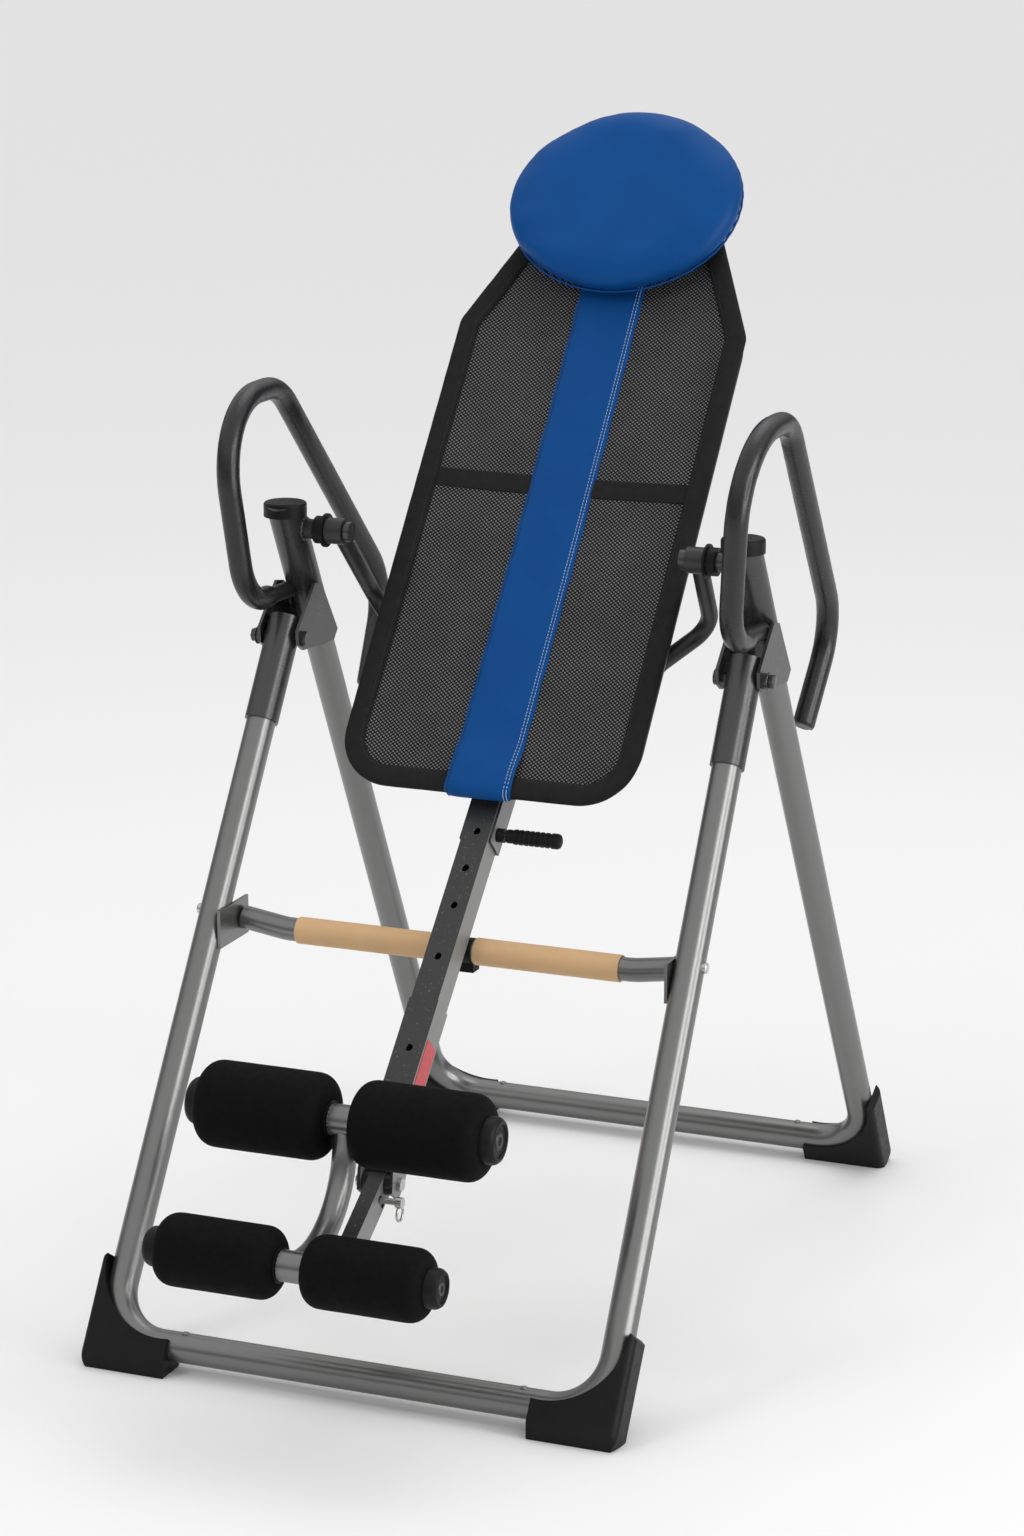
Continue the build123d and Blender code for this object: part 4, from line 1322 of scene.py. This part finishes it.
@dataclass
class Hardware:
    """Hinge bolt heads, domed floor-bar screws and weld beads."""

    screw_radius: float = 0.0048
    screw_inset: float = 0.012
    tees: tuple = (("upper", -0.4432, 0.360), ("lower", -0.5892, 0.227))
    tee_half: float = 0.0150
    boss_reach: float = 0.2905

    def build(self) -> None:
        """Builds the small pieces."""
        hinge_low, hinge_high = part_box("hinge_bolts")
        hinge = (hinge_low + hinge_high) / 2
        reach = hinge_high.x
        for side, word in ((-1, "left"), (1, "right")):
            HexHead("hinge_bolt_head_" + word, "front_frame", (side * reach, hinge.y, hinge.z), side).build()
        self.floor_bar_screws()
        self.welds()

    def floor_bar_screws(self) -> None:
        """A low domed screw head at each end of both floor bars."""
        for word, body in (("front", "front_frame"), ("rear", "rear_frame")):
            low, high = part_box(word + "_floor_bar")
            centre = (low + high) / 2
            radius = (high.z - low.z) / 2
            for side in (-1, 1):
                rest_all()
                spot = (side * (high.x - self.screw_inset), centre.y, centre.z + radius)
                bpy.ops.mesh.primitive_uv_sphere_add(
                    segments=20, ring_count=10, radius=self.screw_radius, location=spot, scale=(1, 1, 0.5)
                )
                piece = named("%s_bar_screw_%s" % (word, "left" if side < 0 else "right"))
                smooth(piece)
                dress(piece, body, "painted_grey")

    def welds(self) -> None:
        """Weld beads at the roller tees and the pivot bosses."""
        across = Vector((1, 0, 0))
        for word, y, z in self.tees:
            for side in (-1, 1):
                name = "%s_tee_rim_%s" % (word, "left" if side < 0 else "right")
                place = Vector((side * self.tee_half, y, z))
                WeldBead(name, "ankle_frame", place, across, 0.0178, "painted_grey", 0.0014).build()
        pivot = middle("pivot_cups")
        for side, word in ((-1, "left"), (1, "right")):
            place = Vector((side * self.boss_reach, pivot.y, pivot.z))
            WeldBead("pivot_boss_weld_" + word, "rear_frame", place, across, 0.0135).build()


# --------------------------------------------------------------------------- frame, stage, camera


@dataclass
class Steelwork:
    """The CAD nodes that stay, each with its own finish."""

    def build(self) -> None:
        """Gives every CAD node the finish of its record slot, but the hinge bolts charcoal paint."""
        for item in frame["record"]["subparts"]:
            node = frame["nodes"][item["node"]]
            node.data.materials.clear()
            slot = "painted_charcoal" if item["node"] == "hinge_bolts" else item["material_slot"]
            node.data.materials.append(finish_of(slot))
            LOG.info("%s wears %s", node.name, slot)


@dataclass
class Studio:
    """Pale floor, soft lights and the camera."""

    focal: float = 98.77
    place: tuple = (1.9713, -4.7568, 2.0240)
    pitch: float = 75.43
    heading: float = 22.16
    floor_half: float = 60.0
    wall_height: float = 0.18
    ceiling_height: float = 0.55
    wall_light: float = 0.22
    ceiling_light: float = 0.92
    backdrop_light: float = 0.76

    def build(self) -> None:
        """Builds the stage."""
        self.floor()
        key = self.lamp("key_softbox", (-2.6, -3.4, 3.6), (0.0, 0.0, 0.75), 1.6, 34.0)
        key.visible_glossy = False
        fill = self.lamp("side_fill", (3.6, -0.6, 1.9), (0.0, 0.0, 0.8), 1.2, 26.0)
        fill.visible_glossy = False
        strip = self.lamp("side_softbox", (3.6, -0.6, 1.9), (0.0, 0.0, 0.8), 2.6, 115.0)
        strip.visible_diffuse = False
        self.lamp("top_softbox", (0.2, 1.6, 4.2), (0.0, 0.1, 0.6), 2.4, 22.0)
        world = bpy.context.scene.world or bpy.data.worlds.new("studio")
        bpy.context.scene.world = world
        world.use_nodes = True
        self.sky(world.node_tree)
        self.camera()
        bpy.context.scene.view_settings.view_transform = "Standard"

    def sky(self, tree: bpy.types.NodeTree) -> None:
        """A bright ceiling over darker walls, so that round bars show dark sides and bright lines.

        Args:
            tree: the world's node tree.
        """
        background = tree.nodes["Background"]
        place = tree.nodes.new("ShaderNodeTexCoord")
        split = tree.nodes.new("ShaderNodeSeparateXYZ")
        height = tree.nodes.new("ShaderNodeMapRange")
        tree.links.new(place.outputs["Generated"], split.inputs[0])
        tree.links.new(split.outputs[2], height.inputs[0])
        steps = (self.wall_height, self.ceiling_height, self.wall_light, self.ceiling_light)
        for index, value in enumerate(steps, start=1):
            height.inputs[index].default_value = value
        seen = tree.nodes.new("ShaderNodeLightPath")
        backdrop = tree.nodes.new("ShaderNodeMath")
        backdrop.operation = "MULTIPLY"
        backdrop.inputs[1].default_value = self.backdrop_light
        tree.links.new(seen.outputs["Is Camera Ray"], backdrop.inputs[0])
        brightest = tree.nodes.new("ShaderNodeMath")
        brightest.operation = "MAXIMUM"
        tree.links.new(height.outputs[0], brightest.inputs[0])
        tree.links.new(backdrop.outputs[0], brightest.inputs[1])
        tree.links.new(brightest.outputs[0], background.inputs[1])
        background.inputs[0].default_value = (1.0, 1.0, 1.0, 1.0)

    def floor(self) -> None:
        """The floor, wide enough to fill the view."""
        rest_all()
        bpy.ops.mesh.primitive_plane_add(size=2 * self.floor_half, location=(0, 0, -0.0005))
        floor = named("studio_floor")
        g = Graph("studio_floor_paint")
        pale = (0.93, 0.93, 0.93)
        floor.data.materials.append(g.set(Base_Color=pale, Roughness=0.8, Specular_IOR_Level=0.0))

    def lamp(self, name: str, place: tuple, aim: tuple, size: float, power: float) -> bpy.types.Object:
        """An area light aimed at a point.

        Args:
            name: the lamp's name.
            place: where it stands.
            aim: the point it faces.
            size: the side of its square.
            power: its power in watts.

        Returns:
            The lamp.
        """
        data = bpy.data.lights.new(name, "AREA")
        data.size, data.energy = size, power
        lamp = bpy.data.objects.new(name, data)
        bpy.context.scene.collection.objects.link(lamp)
        lamp.location = place
        lamp.rotation_euler = (Vector(aim) - Vector(place)).to_track_quat("-Z", "Y").to_euler()
        return lamp

    def camera(self) -> None:
        """The camera at its viewing angle."""
        data = bpy.data.cameras.new("view")
        data.lens, data.sensor_width = self.focal, 36.0
        data.clip_end = 200.0
        camera = bpy.data.objects.new("view", data)
        bpy.context.scene.collection.objects.link(camera)
        camera.location = self.place
        camera.rotation_euler = (math.radians(self.pitch), 0.0, math.radians(self.heading))
        bpy.context.scene.camera = camera


def main() -> None:
    """Builds the whole object and its stage."""
    logging.basicConfig(level=logging.INFO, format="%(name)s: %(message)s")
    Steelwork().build()
    Backrest().build()
    HeadPad().build()
    for side in ("left", "right"):
        FoamSleeve("handle_grip_" + side, "rear_frame", "black_foam", 0.0026, 0.0002).build()
        for pair in ("upper", "lower"):
            body = "%s_roller_%s" % (pair, side)
            foam = "%s_roller_foam_%s" % (pair, side)
            FoamSleeve(foam, body, "black_foam", 0.0035, 0.0006, 1.0, ROLLER_SKIN).build()
    FoamSleeve("crossbar_grips", "front_frame", "tan_foam", 0.0013, 0.0004, 0.9).build()
    for pair, reach, radius in (("upper", 0.1980, 0.0281), ("lower", 0.1860, 0.02335)):
        for side in (-1, 1):
            RollerCap(pair, side, reach, radius).build()
    PinGrip().build()
    Hardware().build()
    Studio().build()


if __name__ == "__main__":
    main()
